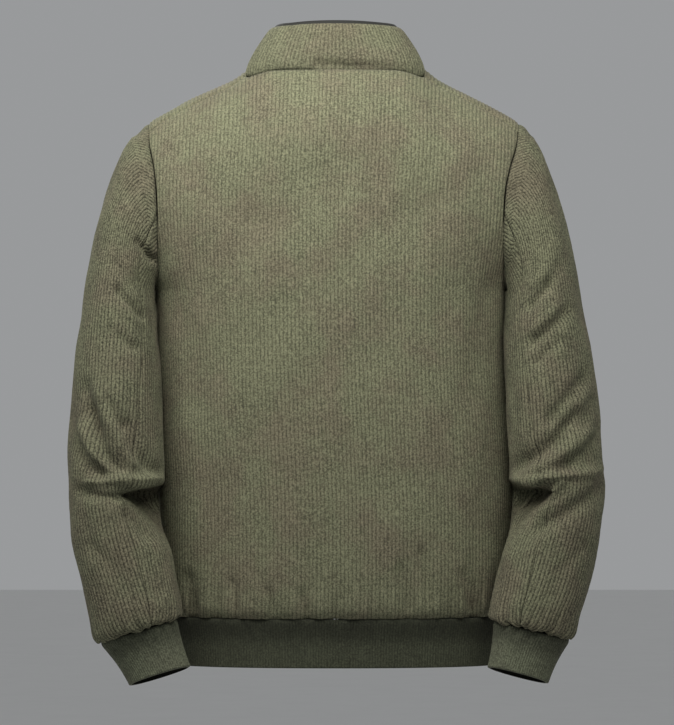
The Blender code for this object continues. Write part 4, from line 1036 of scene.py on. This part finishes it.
# %% Creases of the sleeves
SLEEVE_CREASES = {
    1: creases_on(
        BACK,
        (6.4, 4.8, (223, -194), (208, -214)),
        (6.0, 5.4, (246, -250), (220, -278)),
        (5.8, 4.8, (243, -303), (227, -315)),
        (2.6, 7, (250, -219), (228, -243)),
        (-2.4, 4.6, (242, -266), (226, -285)),
        (-2.2, 4.2, (216, -192), (207, -205)),
        (4.8, 7, (283, -358), (278, -387), (268, -408)),
        (5.0, 7, (256, -377), (242, -403)),
        (-2.0, 5.5, (269, -365), (255, -401)),
        (8.6, 7.5, (304, -392), (294, -423), (280, -445), (264, -456)),
        (8.8, 7.8, (276, -385), (267, -412), (258, -437), (245, -452)),
        (6.4, 7, (235, -402), (226, -430), (213, -447), (201, -455)),
        (-4.2, 5, (289, -405), (276, -432), (258, -448), (244, -457)),
        (-3.6, 5.2, (251, -402), (240, -429), (224, -447)),
        (-4.2, 4.6, (278, -466), (259, -465), (240, -463), (198, -462)),
        (4.6, 6.5, (288, -476), (267, -482), (246, -484)),
        (-6.0, 7.5, (240, -466), (220, -468), (199, -464)),
        (9.0, 8, (222, -482), (210, -488), (200, -496)),
        (4.6, 8, (231, -504), (210, -525)),
        (-3.0, 4, (236, -484), (223, -492), (209, -501), (199, -513), (192, -525), (184, -545)),
        (2.6, 9, (273, -540), (244, -567), (231, -594)),
        (2.2, 8, (208, -554), (197, -588)),
        (2.2, 7, (211, -110), (231, -138)),
        (2.0, 7, (282, -509), (269, -545)),
        (1.8, 8, (251, -295), (267, -338)),
    ) + creases_on(
        FRONT,
        (4.0, 10, (215, -455), (262, -430)),
        (4.0, 10, (225, -520), (280, -492)),
        (2.4, 8, (220, -250), (255, -290)),
        (2.2, 8, (232, -330), (268, -365)),
        (2.6, 8, (240, -395), (286, -410)),
        (1.8, 9, (235, -565), (262, -585)),
    ),
    -1: creases_on(
        BACK,
        (6.6, 5.6, (-243, -243), (-221, -268)),
        (7.2, 6, (-262, -274), (-223, -309)),
        (6.0, 5.4, (-255, -305), (-227, -331)),
        (-4.0, 4.6, (-249, -272), (-226, -294)),
        (-3.0, 4.8, (-240, -228), (-224, -243)),
        (2.2, 8, (-260, -219), (-236, -241)),
        (-2.0, 5.5, (-260, -304), (-240, -324)),
        (6.4, 7.4, (-282, -349), (-260, -374), (-242, -395)),
        (4.4, 6.5, (-291, -372), (-280, -401)),
        (-2.6, 5.5, (-285, -365), (-260, -392)),
        (8.8, 7.8, (-272, -389), (-251, -417), (-228, -434), (-206, -448)),
        (6.0, 7, (-300, -410), (-287, -430), (-262, -444)),
        (-4.2, 5.2, (-289, -408), (-267, -428), (-242, -443), (-219, -454)),
        (-4.8, 4.6, (-206, -466), (-233, -462), (-269, -458), (-291, -456), (-305, -450)),
        (6.8, 8.5, (-306, -470), (-284, -486), (-255, -504), (-226, -518)),
        (3.0, 6, (-253, -450), (-287, -443)),
        (-6.0, 7.5, (-200, -464), (-222, -467), (-240, -462)),
        (11.0, 8.5, (-190, -484), (-213, -489), (-232, -480)),
        (-3.2, 4, (-255, -468), (-243, -479), (-225, -495), (-207, -509), (-196, -527), (-188, -549)),
        (2.6, 9, (-281, -540), (-255, -565), (-244, -594)),
        (2.2, 7, (-208, -110), (-228, -140)),
        (2.2, 8, (-208, -554), (-199, -588)),
        (2.0, 8, (-260, -396), (-253, -419)),
        (2.2, 7, (-232, -509), (-210, -540)),
    ) + creases_on(
        FRONT,
        (4.0, 10, (-215, -450), (-265, -428)),
        (4.0, 10, (-228, -525), (-280, -495)),
        (2.4, 8, (-215, -255), (-250, -295)),
        (2.2, 8, (-230, -330), (-264, -360)),
        (2.6, 8, (-240, -390), (-284, -405)),
        (1.8, 9, (-236, -570), (-262, -590)),
    ),
}
print("creases on the left and on the right sleeve:", *map(len, SLEEVE_CREASES.values()))

# %% Cut the top and under sleeves
SLEEVE_SAG_WAVES = 0.07, 0.11
SLEEVE_SAG_FADE = 0.02
SLEEVE_GATHERS = 0.6       # gathers over the cuff, against those over the hem
ARMHOLE_GROOVE = 0.0016, 0.0035
CUFF_GROOVE = 0.0010, 0.004
PUFF = 0.0016              # the sleeve's head puffs up so far, a little below the armhole's seam
PUFF_PLACE, PUFF_REACH = 0.012, 0.009
UNDER_COLUMNS = UNDER_PARTS * FINE
RING_SIZE = PARTS * FINE


def sleeve_piece(name, form, normals, columns, middle, seed):
    """One sleeve panel: some of the form's columns, with its wales counted from its own middle line."""
    turns, picked = np.divmod(columns, RING_SIZE)
    around = form[:, picked, 3] + form[:, -1:, 3] * turns
    arcs = [arc - np.interp(middle, columns, arc) for arc in around]
    grid = wale_grid(np.concatenate([form[:, picked, :3], normals[:, picked]], axis=2), arcs, STEP)
    beside, to_cuff = from_edges(grid), grid.along[-1, 0] - grid.along
    rise = PUFF * np.exp(-((grid.along - PUFF_PLACE) / PUFF_REACH) ** 2)
    rise += gathers(grid, SLEEVE_GATHERS * np.exp(-to_cuff / GATHER_FADE), seed + 2)
    rise += uneven_sag(grid, SLEEVE_SAG_WAVES, beside, SLEEVE_SAG_FADE, seed + 1)
    rise -= groove(beside) + groove(to_cuff, *CUFF_GROOVE)
    rise -= groove(grid.along, *ARMHOLE_GROOVE) * seam_depth(grid.points)
    grid = grid._replace(points=grid.points + grid.normals * rise[..., None])
    return cloth_piece(name, grid, wale_height(grid, STEP, seed))


top = np.arange(UNDER_COLUMNS, RING_SIZE - UNDER_COLUMNS + 1), RING_SIZE / 2, 40
under = np.arange(-UNDER_COLUMNS, UNDER_COLUMNS + 1), 0, 50
sleeves = {}
for side, word in SIDES.items():
    form = sleeve_forms[side]
    core = form[:, :-1, :3].mean(axis=1)
    normals = face_out(grid_normals(form, closed=True), form, core)
    form[..., :3] = press(form[..., :3], normals, SLEEVE_CREASES[side])
    normals = face_out(grid_normals(form, closed=True), form, core)
    for part, (columns, middle, seed) in (("top", top), ("under", under)):
        sleeves[f"sleeve_{part}_{word}"] = sleeve_piece(
            f"sleeve_{part}_cloth_{word}", form, normals, columns, middle, seed + side)

# %% [markdown]
# ## Knitted band and cuffs
# The hem and the wrists end in a rib knit that grips. A rib knit is two stitches up and two down, which
# makes soft cords across the band, and it is folded double, so that its lower edge is a round fold and not a
# cut. The ribs run the whole height of the band, so they crowd together where the band is narrower.

# %% Knit a piece
KNIT = 0.0022              # thickness of the folded knit under its ribs
KNIT_PILE = 0.75           # height of its ribs, against a wale's
KNIT_ROWS = 30
FOLD = 0.0016              # radius of the fold at the lower edge
KNIT_WAVE = 0.0009         # how far the knit waves in and out under its seam
KNIT_WAVE_FADE = 0.03
KNIT_DRIFT = 0.5, (0.1, 0.2)   # how unevenly those waves stand, and over what lengths
KNIT_GROOVE = 0.0014, 0.003
FALLS = np.concatenate([   # shares of a knit's height, from its seam down, close together at the fold
    np.linspace(0, 0.94, KNIT_ROWS), [0.957, 0.972, 0.984, 0.993, 1.0]])


def knit_piece(name, rows, core, rib, wave, seed):
    """A rib knit on rows that all have the same ribs, with its fold in the last row."""
    rows = np.array(rows)
    normal = face_out(grid_normals(rows), rows, core)
    around = lengths(rows[len(rows) // 2])
    step = around[-1] / (round(around[-1] / rib) * STEPS)
    arcs = [around - around[-1] / 2] * len(rows)
    grid = wale_grid(np.concatenate([rows, normal], axis=2), arcs, step)
    left = grid.along[-1, 0] - grid.along
    drift, reach = KNIT_DRIFT
    turns = grid.across / wave + drift * soft_noise(grid.across, left, *reach, seed)
    rise = KNIT_WAVE * np.sin(2 * math.pi * turns) * np.clip(1 - grid.along / KNIT_WAVE_FADE, 0, 1)
    rise -= groove(grid.along, *KNIT_GROOVE)
    rise -= FOLD - np.sqrt(FOLD**2 - np.clip(FOLD - left, 0, FOLD) ** 2)
    grid = grid._replace(points=grid.points + grid.normals * rise[..., None])
    return cloth_piece(name, grid, wale_height(grid, step, seed) * KNIT_PILE, KNIT)


print("rows of a knit:", len(FALLS))

# %% Knit the hem band
BAND_BOTTOM = -0.6772
BAND_HALF = 0.1900         # half width, back and front at its lower edge
BAND_BACK = 0.1075
BAND_FRONT = 0.1170
RIB = 0.0032               # from one rib to the next
BAND_WAVE = 0.023


def band_row(top, fall):
    """The hem band's line at a share of its fall, worked out from the body's lowest line."""
    ease = 1 - (1 - fall) ** 2
    deep = np.where(top[:, 1] > 0, BAND_BACK / TORSO["back"][0], BAND_FRONT / TORSO["front"][0])
    row = top.copy()
    row[:, 0] *= 1 + (BAND_HALF / TORSO["half_width"][0] - 1) * ease
    row[:, 1] *= 1 + (deep - 1) * ease
    row[:, 2] = HEM_SEAM + (BAND_BOTTOM - HEM_SEAM) * fall
    return row


front_line, back_line = half_front[0][:, :3], half_back[0][:, :3]
beside_zip = [ZIP_HALF, np.interp(ZIP_HALF, front_line[:, 0], front_line[:, 1]), HEM_SEAM]
front_line = np.vstack([beside_zip, front_line[front_line[:, 0] >= ZIP_HALF]])
half_line = np.concatenate([back_line, front_line[::-1][1:]])
hem_line = np.concatenate([half_line[::-1] * [-1, 1, 1], half_line[1:]])
band_rows = [shift_middle(band_row(hem_line, fall)) for fall in FALLS]
band_core = [(0, 0, row[0, 2]) for row in band_rows]
band_cloth = knit_piece("hem_band_knit", band_rows, band_core, RIB, BAND_WAVE, 61)

# %% Knit the cuffs
CUFF_RIB = 0.0028
CUFF_WAVE = 0.016
CUFF_STEP = 0.995          # a cuff starts a little inside the sleeve
CUFF_EASE = 1.7
CUFF_TILT = 0.0042         # the open end stands this much higher at its back, and lower at its front
CUFF_ENDS = {
    1: Ring(0.2313, -0.6957, 0.1632, -0.6741, 0.1180, 0.0270),
    -1: Ring(-0.2402, -0.6932, -0.1721, -0.6751, 0.1180, 0.0270),
}

cuffs = {}
for side, end in CUFF_ENDS.items():
    seam_ring = sleeve_forms[side][-1, :, :3]
    centre = seam_ring[:-1].mean(axis=0)
    start = centre + (seam_ring - centre) * CUFF_STEP
    last = ring_points(end, sleeve_shares(RINGS))[:, :3]
    last[:, 2] += CUFF_TILT * (last[:, 1] - end.middle_y) / end.half_depth
    rows = []
    for fall in FALLS:
        ease = 1 - (1 - fall) ** CUFF_EASE
        rows.append(start * (1 - ease) + last * ease + (last - start).mean(axis=0) * (fall - ease))
    core = [row[:-1].mean(axis=0) for row in rows]
    cuffs[side] = knit_piece("cuff_knit_" + SIDES[side], rows, core, CUFF_RIB, CUFF_WAVE, 70 + side)

# %% [markdown]
# ## The zip
# A metal zip is two woven tapes with a row of teeth clamped along each. The teeth of one side sit in the
# gaps of the other, half a pitch on. The fronts are stitched down beside the zip with a row of topstitching,
# because that is what carries the pull.

# %% Make the tapes
TAPE_INNER = 0.0023        # where a tape's inner edge lies
TAPE = 0.0009              # thickness
TAPE_COLUMNS = 6
FRONT_CLOTH = 0.0024       # a front's cloth with its pile
TAPE_ROOM = 0.0003
TAPE_DEPTH = FRONT_CLOTH + SEAM_GAP + TAPE_ROOM
BAND_STEPS = 11            # points of the zip's line beside the band, and up the collar
COLLAR_STEPS = 14
ZIP_CORE = 0.05            # a place inside the jacket, in depth


def zip_line(distance):
    """A line up the closed front, so far from the middle, from the band's bottom to the collar's top."""
    rows = [band_row(half_front[0][:, :3], fall) for fall in np.linspace(1, 0, BAND_STEPS + 1)[:-1]]
    line = [[np.interp(distance, row[:, 0], row[:, k]) for k in range(3)] for row in rows + half_front[:-1]]
    turn = np.asarray(math.pi - math.asin(distance / NECK_HALF))
    line = np.array(line + [collar_point(turn, rise) for rise in np.linspace(0, 1, COLLAR_STEPS)])
    line[:, 0] = distance
    return line


chain_line = zip_line(0.0)
zip_core = chain_line * [0, 0, 1] + [0, ZIP_CORE, 0]
tapes = {}
for side, word in SIDES.items():
    distances = np.linspace(TAPE_INNER, TAPE_OUTER, TAPE_COLUMNS)
    strip = np.stack([zip_line(distance) * [side, 1, 1] for distance in distances], axis=1)
    normal = face_out(grid_normals(strip), strip, zip_core)
    strip = shift_middle(strip - normal * TAPE_DEPTH)[:, ::side]
    across = np.tile(distances - TAPE_INNER, (len(strip), 1))
    along = lengths(strip[:, 0])[:, None] + np.zeros(TAPE_COLUMNS)
    grid = Grid(strip, normal[:, ::side], across, along, np.ones(across.shape, bool))
    tapes[side] = cloth_piece("zip_tape_cloth_" + word, grid, np.zeros(across.shape), TAPE)

# %% Clamp the teeth
TOOTH_PITCH = 0.0027       # from one tooth to the next on the same tape
TOOTH_LONG = 0.0016
TOOTH_HEIGHT = 0.0009      # half of it
TOOTH_REACH = 0.0016       # how far a tooth reaches out over its own tape
TOOTH_TIP = 0.0006         # and how far its narrower tip reaches past the middle line
TIP_SIZE = 0.72
TEETH_LIFT = 0.0006        # the teeth stand so far over the tapes
WORN_EDGE = 0.00018
SHARP_ANGLE = math.radians(35)
AHEAD = 0.001              # a direction along a line is taken over so far
BESIDE = 0.004             # and one across the zip over so far
CORNERS = (-1, -1), (1, -1), (1, 1), (-1, 1)
TOOTH_FACES = (0, 1, 2, 3), (4, 7, 6, 5), (0, 4, 5, 1), (1, 5, 6, 2), (2, 6, 7, 3), (3, 7, 4, 0)

beside_chain = np.stack([chain_line, zip_line(BESIDE)], axis=1)
middle_normal = face_out(grid_normals(beside_chain)[:, :1], chain_line[:, None], zip_core)[:, 0]
teeth_line = shift_middle(chain_line + middle_normal * (TEETH_LIFT - TAPE_DEPTH))
measure = lengths(teeth_line)
points, faces = [], []
for side, offset in ((1, 1.0), (-1, 1.5)):
    for place in np.arange(TOOTH_PITCH * offset, measure[-1] - TOOTH_PITCH, TOOTH_PITCH):
        centre, above = read_along(teeth_line, measure, [place, place + AHEAD])
        up = (above - centre) / np.linalg.norm(above - centre)
        out = read_along(middle_normal, measure, [place])[0]
        wide = np.cross(up, out)
        wide *= side * np.sign(wide[0])
        faces += [[len(points) + k for k in quad] for quad in TOOTH_FACES]
        for reach, size in ((-TOOTH_TIP, TIP_SIZE), (TOOTH_REACH, 1.0)):
            points += [centre + (up * u * TOOTH_LONG / 2 + out * o * TOOTH_HEIGHT) * size + wide * reach
                       for u, o in CORNERS]
teeth = make_object("zip_teeth_metal", np.array(points), faces)
bevel = teeth.modifiers.new("worn_edges", "BEVEL")
bevel.width = WORN_EDGE
bevel.segments = 1
teeth.data.set_sharp_from_angle(angle=SHARP_ANGLE)
print("teeth:", len(points) // 8)

# %% Sew the topstitches
STITCH_PITCH = 0.0033
STITCH_LENGTH = 0.0025
STITCH_RADIUS = 0.00042
STITCH_INSET = 0.0060      # from the front's edge
STITCH_LIFT = PILE * 0.8   # a stitch sinks a little into the pile
STITCH_SIDES = 6
# each ring's place along the stitch, its height over that and its share of the radius
STITCH_RINGS = (-0.5, -0.0006, 0.5), (-0.3, 0.0003, 1), (0.3, 0.0003, 1), (0.5, -0.0006, 0.5)


def stitch_row(name, line, normal):
    """Topstitches along a line of points: short rods whose ends dip into the cloth."""
    measure = lengths(line)
    turns = np.linspace(0, 2 * math.pi, STITCH_SIDES, endpoint=False)[:, None]
    ring = np.arange(STITCH_SIDES)
    spots, quads = [], []
    for place in np.arange(STITCH_PITCH, measure[-1] - STITCH_PITCH, STITCH_PITCH):
        base = len(spots)
        for share, sink, thick in STITCH_RINGS:
            at = place + share * STITCH_LENGTH
            here, there = read_along(line, measure, [at, at + AHEAD / 2])
            out = read_along(normal, measure, [at])[0]
            beside = np.cross((there - here) / np.linalg.norm(there - here), out)
            size = STITCH_RADIUS * thick
            height = sink + STITCH_LIFT + size * np.sin(turns)
            spots += list(here + out * height + beside * size * np.cos(turns))
        for start in range(base, len(spots) - STITCH_SIDES, STITCH_SIDES):
            a, b = start + ring, start + np.roll(ring, -1)
            quads += np.stack([a, b, b + STITCH_SIDES, a + STITCH_SIDES], axis=1).tolist()
        quads += [(base + ring[::-1]).tolist(), (len(spots) - STITCH_SIDES + ring).tolist()]
    return make_object(name, np.array(spots), quads)


stitches = {}
for side, word in SIDES.items():
    grid = fronts[side][1]
    inset = [side * STITCH_INSET]
    line, normal = (np.array([read_along(row, arc, inset)[0] for row, arc in zip(rows, grid.across)])
                    for rows in (grid.points, grid.normals))
    stitches[side] = stitch_row("topstitches_" + word, line, normal)

# %% [markdown]
# ## Finishes
# Corduroy is dyed cotton cut into pile. The ribs look pale and dusty, and the tracks between them are painted
# dark: partly the bare ground weave, partly painted shade. The dye has faded in soft brownish clouds. The
# sleeves and the collar get copies painted darker as painted shade. The knit is darker wool, with painted
# shade under its seam; the facing is a plain dark cotton, painted near black as partly painted shade; and the
# zip is oxidised metal.

# %% Start a finish
def new_finish(name, **values):
    """An empty finish with values set on its shader, the shader, and a function that adds nodes."""
    finish = bpy.data.materials.new(name)
    finish.use_nodes = True
    tree = finish.node_tree
    shader = tree.nodes["Principled BSDF"]
    for key, value in values.items():
        shader.inputs[key.replace("_", " ")].default_value = value

    def add(kind, inputs=(), **settings):
        made = tree.nodes.new("ShaderNode" + kind)
        for key, value in settings.items():
            setattr(made, key, value)
        for key, value in dict(inputs).items():
            if isinstance(value, bpy.types.NodeSocket):
                tree.links.new(value, made.inputs[key])
            else:
                made.inputs[key].default_value = value
        return made

    return finish, shader, add


print("finishes that came with the frame:", len(bpy.data.materials))

# %% Helpers for finishes
def noise(add, place, scale, detail=3.0, roughness=0.5):
    """Even noise with so many waves to a metre."""
    made = add("TexNoise", {"Vector": place, "Scale": scale, "Detail": detail, "Roughness": roughness})
    return made.outputs["Fac"]


def ramp(add, value, low, high):
    """Value as 0 below low and 1 above high, smoothly between."""
    made = add("MapRange", {"Value": value, "From Min": low, "From Max": high},
               interpolation_type="SMOOTHSTEP")
    return made.outputs["Result"]


def factor(add, value, low, high):
    """A grey factor between low and high, from a value between 0 and 1."""
    return add("MapRange", {"Value": value, "To Min": low, "To Max": high}).outputs["Result"]


def times(add, colour, *factors):
    """A colour multiplied by grey factors."""
    for value in factors:
        colour = add("VectorMath", {0: colour, 1: value}, operation="MULTIPLY").outputs["Vector"]
    return colour


def surface(add, shader, colour, height, strength, depth):
    """Gives a shader its colour, and a fuzz or grain of a depth that the light catches on."""
    links = shader.id_data.links
    bump = add("Bump", {"Height": height, "Strength": strength, "Distance": depth})
    links.new(colour, shader.inputs["Base Color"])
    links.new(bump.outputs["Normal"], shader.inputs["Normal"])


print("noise, unless said otherwise, has detail and roughness", noise.__defaults__)

# %% Finishes of ribs, and plain ones
CLOUD_WAVES, NAP_WAVES, SPECK_WAVES, TUFT_WAVES = 16.0, 140.0, 520.0, 1500.0    # to a metre
FABRIC = dict(Roughness=0.92, Specular_IOR_Level=0.18, Sheen_Weight=0.06, Sheen_Roughness=0.55,
              Sheen_Tint=(0.75, 0.72, 0.58, 1.0))


def ribbed_finish(name, pale, brown, dark, track_weave_and_shade, speckle, fuzz, seed, top=1.0):
    """A finish of ribs: pale on the pile, dark in the tracks as ground weave and painted shade, with clouds
    of brown and a fuzzy surface.

    The tracks are broken by the pile's own tufts, so that no rib has a clean edge. top is how light the
    first centimetre under the piece's upper seam is: painted shade under the seam, used on the knits."""
    finish, shader, add = new_finish(name, **FABRIC)
    place = add("VectorMath", {0: add("TexCoord").outputs["Object"], 1: (seed, seed * 0.7, seed * 0.3)},
                operation="ADD").outputs["Vector"]
    pile, inside, fall = (add("Attribute", attribute_name=key).outputs["Fac"]
                          for key in ("pile", "inside", "along"))
    clouds = ramp(add, noise(add, place, CLOUD_WAVES, 5.0, 0.6), 0.38, 0.66)
    nap = noise(add, place, NAP_WAVES, 3.0)
    specks = noise(add, place, SPECK_WAVES, 2.0)
    tufts = noise(add, place, TUFT_WAVES, 2.0)
    ragged = add("Math", {0: specks, 1: 1.5, 2: -0.75}, operation="MULTIPLY_ADD").outputs[0]
    ragged = add("Math", {0: pile, 1: ragged}, operation="ADD").outputs[0]
    cloth = add("Mix", {0: clouds, 6: (*pale, 1.0), 7: (*brown, 1.0)}, data_type="RGBA").outputs[2]
    cloth = times(add, cloth,
                  # the tracks are painted darker than the pile: partly the bare ground weave, partly painted
                  # shade
                  factor(add, ramp(add, ragged, -0.1, 1.0), track_weave_and_shade, 1.08),
                  factor(add, nap, 0.80, 1.20),
                  factor(add, ramp(add, specks, 0.30, 0.70), 1 - speckle, 1 + speckle),
                  factor(add, ramp(add, tufts, 0.3, 0.7), 0.86, 1.14),
                  # painted shade under the upper seam: top darkens the first centimetre or so below it
                  factor(add, ramp(add, fall, 0.014, 0.036), top, 1.0))
    cloth = add("Mix", {0: inside, 6: cloth, 7: (*dark, 1.0)}, data_type="RGBA").outputs[2]
    height = add("Math", {0: tufts, 1: specks}, operation="ADD").outputs[0]
    surface(add, shader, cloth, height, 0.7, fuzz)
    return finish


def plain_finish(name, colour, roughness, metallic, scale, fuzz, spread):
    """A plain finish with even noise in its colour and its surface."""
    finish, shader, add = new_finish(name, Roughness=roughness, Metallic=metallic)
    grain = noise(add, add("TexCoord").outputs["Object"], scale, 4.0)
    surface(add, shader, times(add, colour, factor(add, grain, 1 - spread, 1 + spread)), grain, 0.5, fuzz)
    return finish


print("values set on every fabric:", *FABRIC)

# %% Mix the finishes
PALE, BROWN = np.array([(0.134, 0.136, 0.083), (0.128, 0.116, 0.076)])
WRONG_SIDE = (0.030, 0.029, 0.019)
SLEEVE_PAINTED_SHADE = 0.81            # painted shade: the sleeves' corduroy is painted this much darker, for the shade that falls on them
COLLAR_PAINTED_SHADE = 0.89          # painted shade: the collar's corduroy is painted this much darker than the back's

# The sleeves' and the collar's copies of the corduroy are painted darker through nap, as painted shade; the
# sleeves' tracks are painted darker still.
corduroy, sleeve_corduroy_shaded, collar_corduroy_shaded = (
    ribbed_finish(name, PALE * nap, BROWN * nap, WRONG_SIDE, track_weave_and_shade, speckle, 0.0009, seed)
    for name, nap, track_weave_and_shade, speckle, seed in (("corduroy", 1, 0.60, 0.30, 3.1),
                                            ("sleeve_corduroy_shaded", SLEEVE_PAINTED_SHADE, 0.36, 0.34, 4.4),
                                            ("collar_corduroy_shaded", COLLAR_PAINTED_SHADE, 0.60, 0.30, 5.8)))
# the last number of each knit is top, its painted shade under the upper seam
knit = ribbed_finish("rib_knit", (0.045, 0.049, 0.031), (0.041, 0.044, 0.028), (0.011, 0.012, 0.009),
                     0.74, 0.24, 0.0006, 7.9, 0.56)
cuff_knit = ribbed_finish("cuff_knit", (0.090, 0.098, 0.064), (0.080, 0.084, 0.056), (0.013, 0.014, 0.010),
                          0.76, 0.26, 0.0006, 5.3, 0.66)
# the facing's near-black colour is partly its dark cotton and partly painted shade, the shade inside the
# collar
facing_finish = plain_finish("facing_cloth", (0.009, 0.009, 0.007), 0.85, 0.0, 1600.0, 0.0003, 0.35)
tape_finish = plain_finish("zip_tape", (0.036, 0.038, 0.026), 0.8, 0.0, 1400.0, 0.0003, 0.3)
metal = plain_finish("zip_metal", (0.22, 0.21, 0.19), 0.36, 1.0, 500.0, 0.0001, 0.2)
thread = plain_finish("thread", (0.150, 0.138, 0.088), 0.7, 0.0, 2200.0, 0.0001, 0.2)
# the sleeves' values include their painted shade
print("dye on the pile, red green blue:", PALE, "on the sleeves:", (PALE * SLEEVE_PAINTED_SHADE).round(3))

# %% [markdown]
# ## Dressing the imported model
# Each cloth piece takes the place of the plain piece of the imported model, and moves with the same body. The
# slider and its pull stay as they are and only get their metal.

# %% Dress the frame
dressed = {
    "back_panel": (back_cloth, corduroy, "corduroy"),
    "front_left": (fronts[1][0], corduroy, "corduroy"),
    "front_right": (fronts[-1][0], corduroy, "corduroy"),
    "collar_stand": (collar_cloth, collar_corduroy_shaded, "corduroy"),
    "collar_facing": (facing_cloth, facing_finish, "facing_cloth"),
    "hem_band": (band_cloth, knit, "rib_knit"),
    "cuff_left": (cuffs[1], cuff_knit, "rib_knit"),
    "cuff_right": (cuffs[-1], cuff_knit, "rib_knit"),
    "zip_tape_left": (tapes[1], tape_finish, "zip_tape"),
    "zip_tape_right": (tapes[-1], tape_finish, "zip_tape"),
    "zip_teeth": (teeth, metal, "zip_metal"),
    **{name: (piece, sleeve_corduroy_shaded, "corduroy") for name, piece in sleeves.items()},
}
for node, (piece, finish, slot_name) in dressed.items():
    piece.data.materials.append(finish)
    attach(piece, "jacket")
    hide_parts(node)
for side in SIDES:
    stitches[side].data.materials.append(thread)
    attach(stitches[side], "jacket")
for name in ("zip_slider", "zip_pull"):
    frame["nodes"][name].data.materials.clear()
    frame["nodes"][name].data.materials.append(metal)
print("dressed:", len(dressed))

# %% [markdown]
# ## The cut of the cloth
# A record of the size that a cloth piece was cut to, flat on the table, before it was worn: its node, width,
# length and area.

# %% A record of what a piece was cut from
Cut = namedtuple("Cut", "node width length area")

# %% [markdown]
# ## Room, light and camera
# A pale room with a large soft light above, in front of the side that is looked at, lights the shoulders
# more than the hem. The camera stands far off with a long lens, so that the sides look straight.

# %% Light the jacket
scene = bpy.context.scene
scene.view_settings.view_transform = "Standard"
scene.world = bpy.data.worlds.new("room")
scene.world.use_nodes = True
room = scene.world.node_tree.nodes["Background"].inputs
room["Color"].default_value = (0.93, 0.95, 0.97, 1.0)   # a cool grey day
room["Strength"].default_value = 0.34


def area_light(name, place, aim, size, power, colour=(1.0, 1.0, 1.0)):
    """A soft rectangular light that faces a point."""
    data = bpy.data.lights.new(name, "AREA")
    data.shape = "RECTANGLE"
    data.size, data.size_y = size
    data.energy = power
    data.color = colour
    lamp = bpy.data.objects.new(name, data)
    lamp.location = place
    line = mathutils.Vector(aim) - mathutils.Vector(place)
    lamp.rotation_euler = line.to_track_quat("-Z", "Y").to_euler()
    scene.collection.objects.link(lamp)
    print(f"{name}: {power} W, {line.length:.2f} m from the jacket")


area_light("window", (0.16, 0.78, 0.60), (0.0, 0.08, -0.12), (2.2, 0.35), 32.5, (1.0, 0.99, 0.96))
area_light("front", (0.6, -2.4, 1.0), (0.0, 0.0, -0.3), (1.6, 1.4), 36.0)

# %% Lay the floor
FLOOR_HALF = 30.0
FLOOR_HEIGHT = -1.9        # the jacket hangs over it at a wearer's height

corners = np.array([(x * FLOOR_HALF, y * FLOOR_HALF, FLOOR_HEIGHT) for x, y in CORNERS])
floor = make_object("floor", corners, [[0, 1, 2, 3]])
floor.data.materials.append(plain_finish("floor", (0.80, 0.80, 0.79), 0.9, 0.0, 6.0, 0.0005, 0.03))

# %% Stand the camera
CAMERA = (-0.0023, 6.0, -0.3315)
FIELD = 0.83375            # height that the picture spans at the jacket

eye = bpy.data.cameras.new("camera")
eye.sensor_width = 36.0
eye.lens = eye.sensor_width * CAMERA[1] / FIELD
camera = bpy.data.objects.new("camera", eye)
camera.location = CAMERA
camera.rotation_euler = (math.pi / 2, 0.0, math.pi)
scene.collection.objects.link(camera)
scene.camera = camera
print("lens, mm:", round(eye.lens, 1))
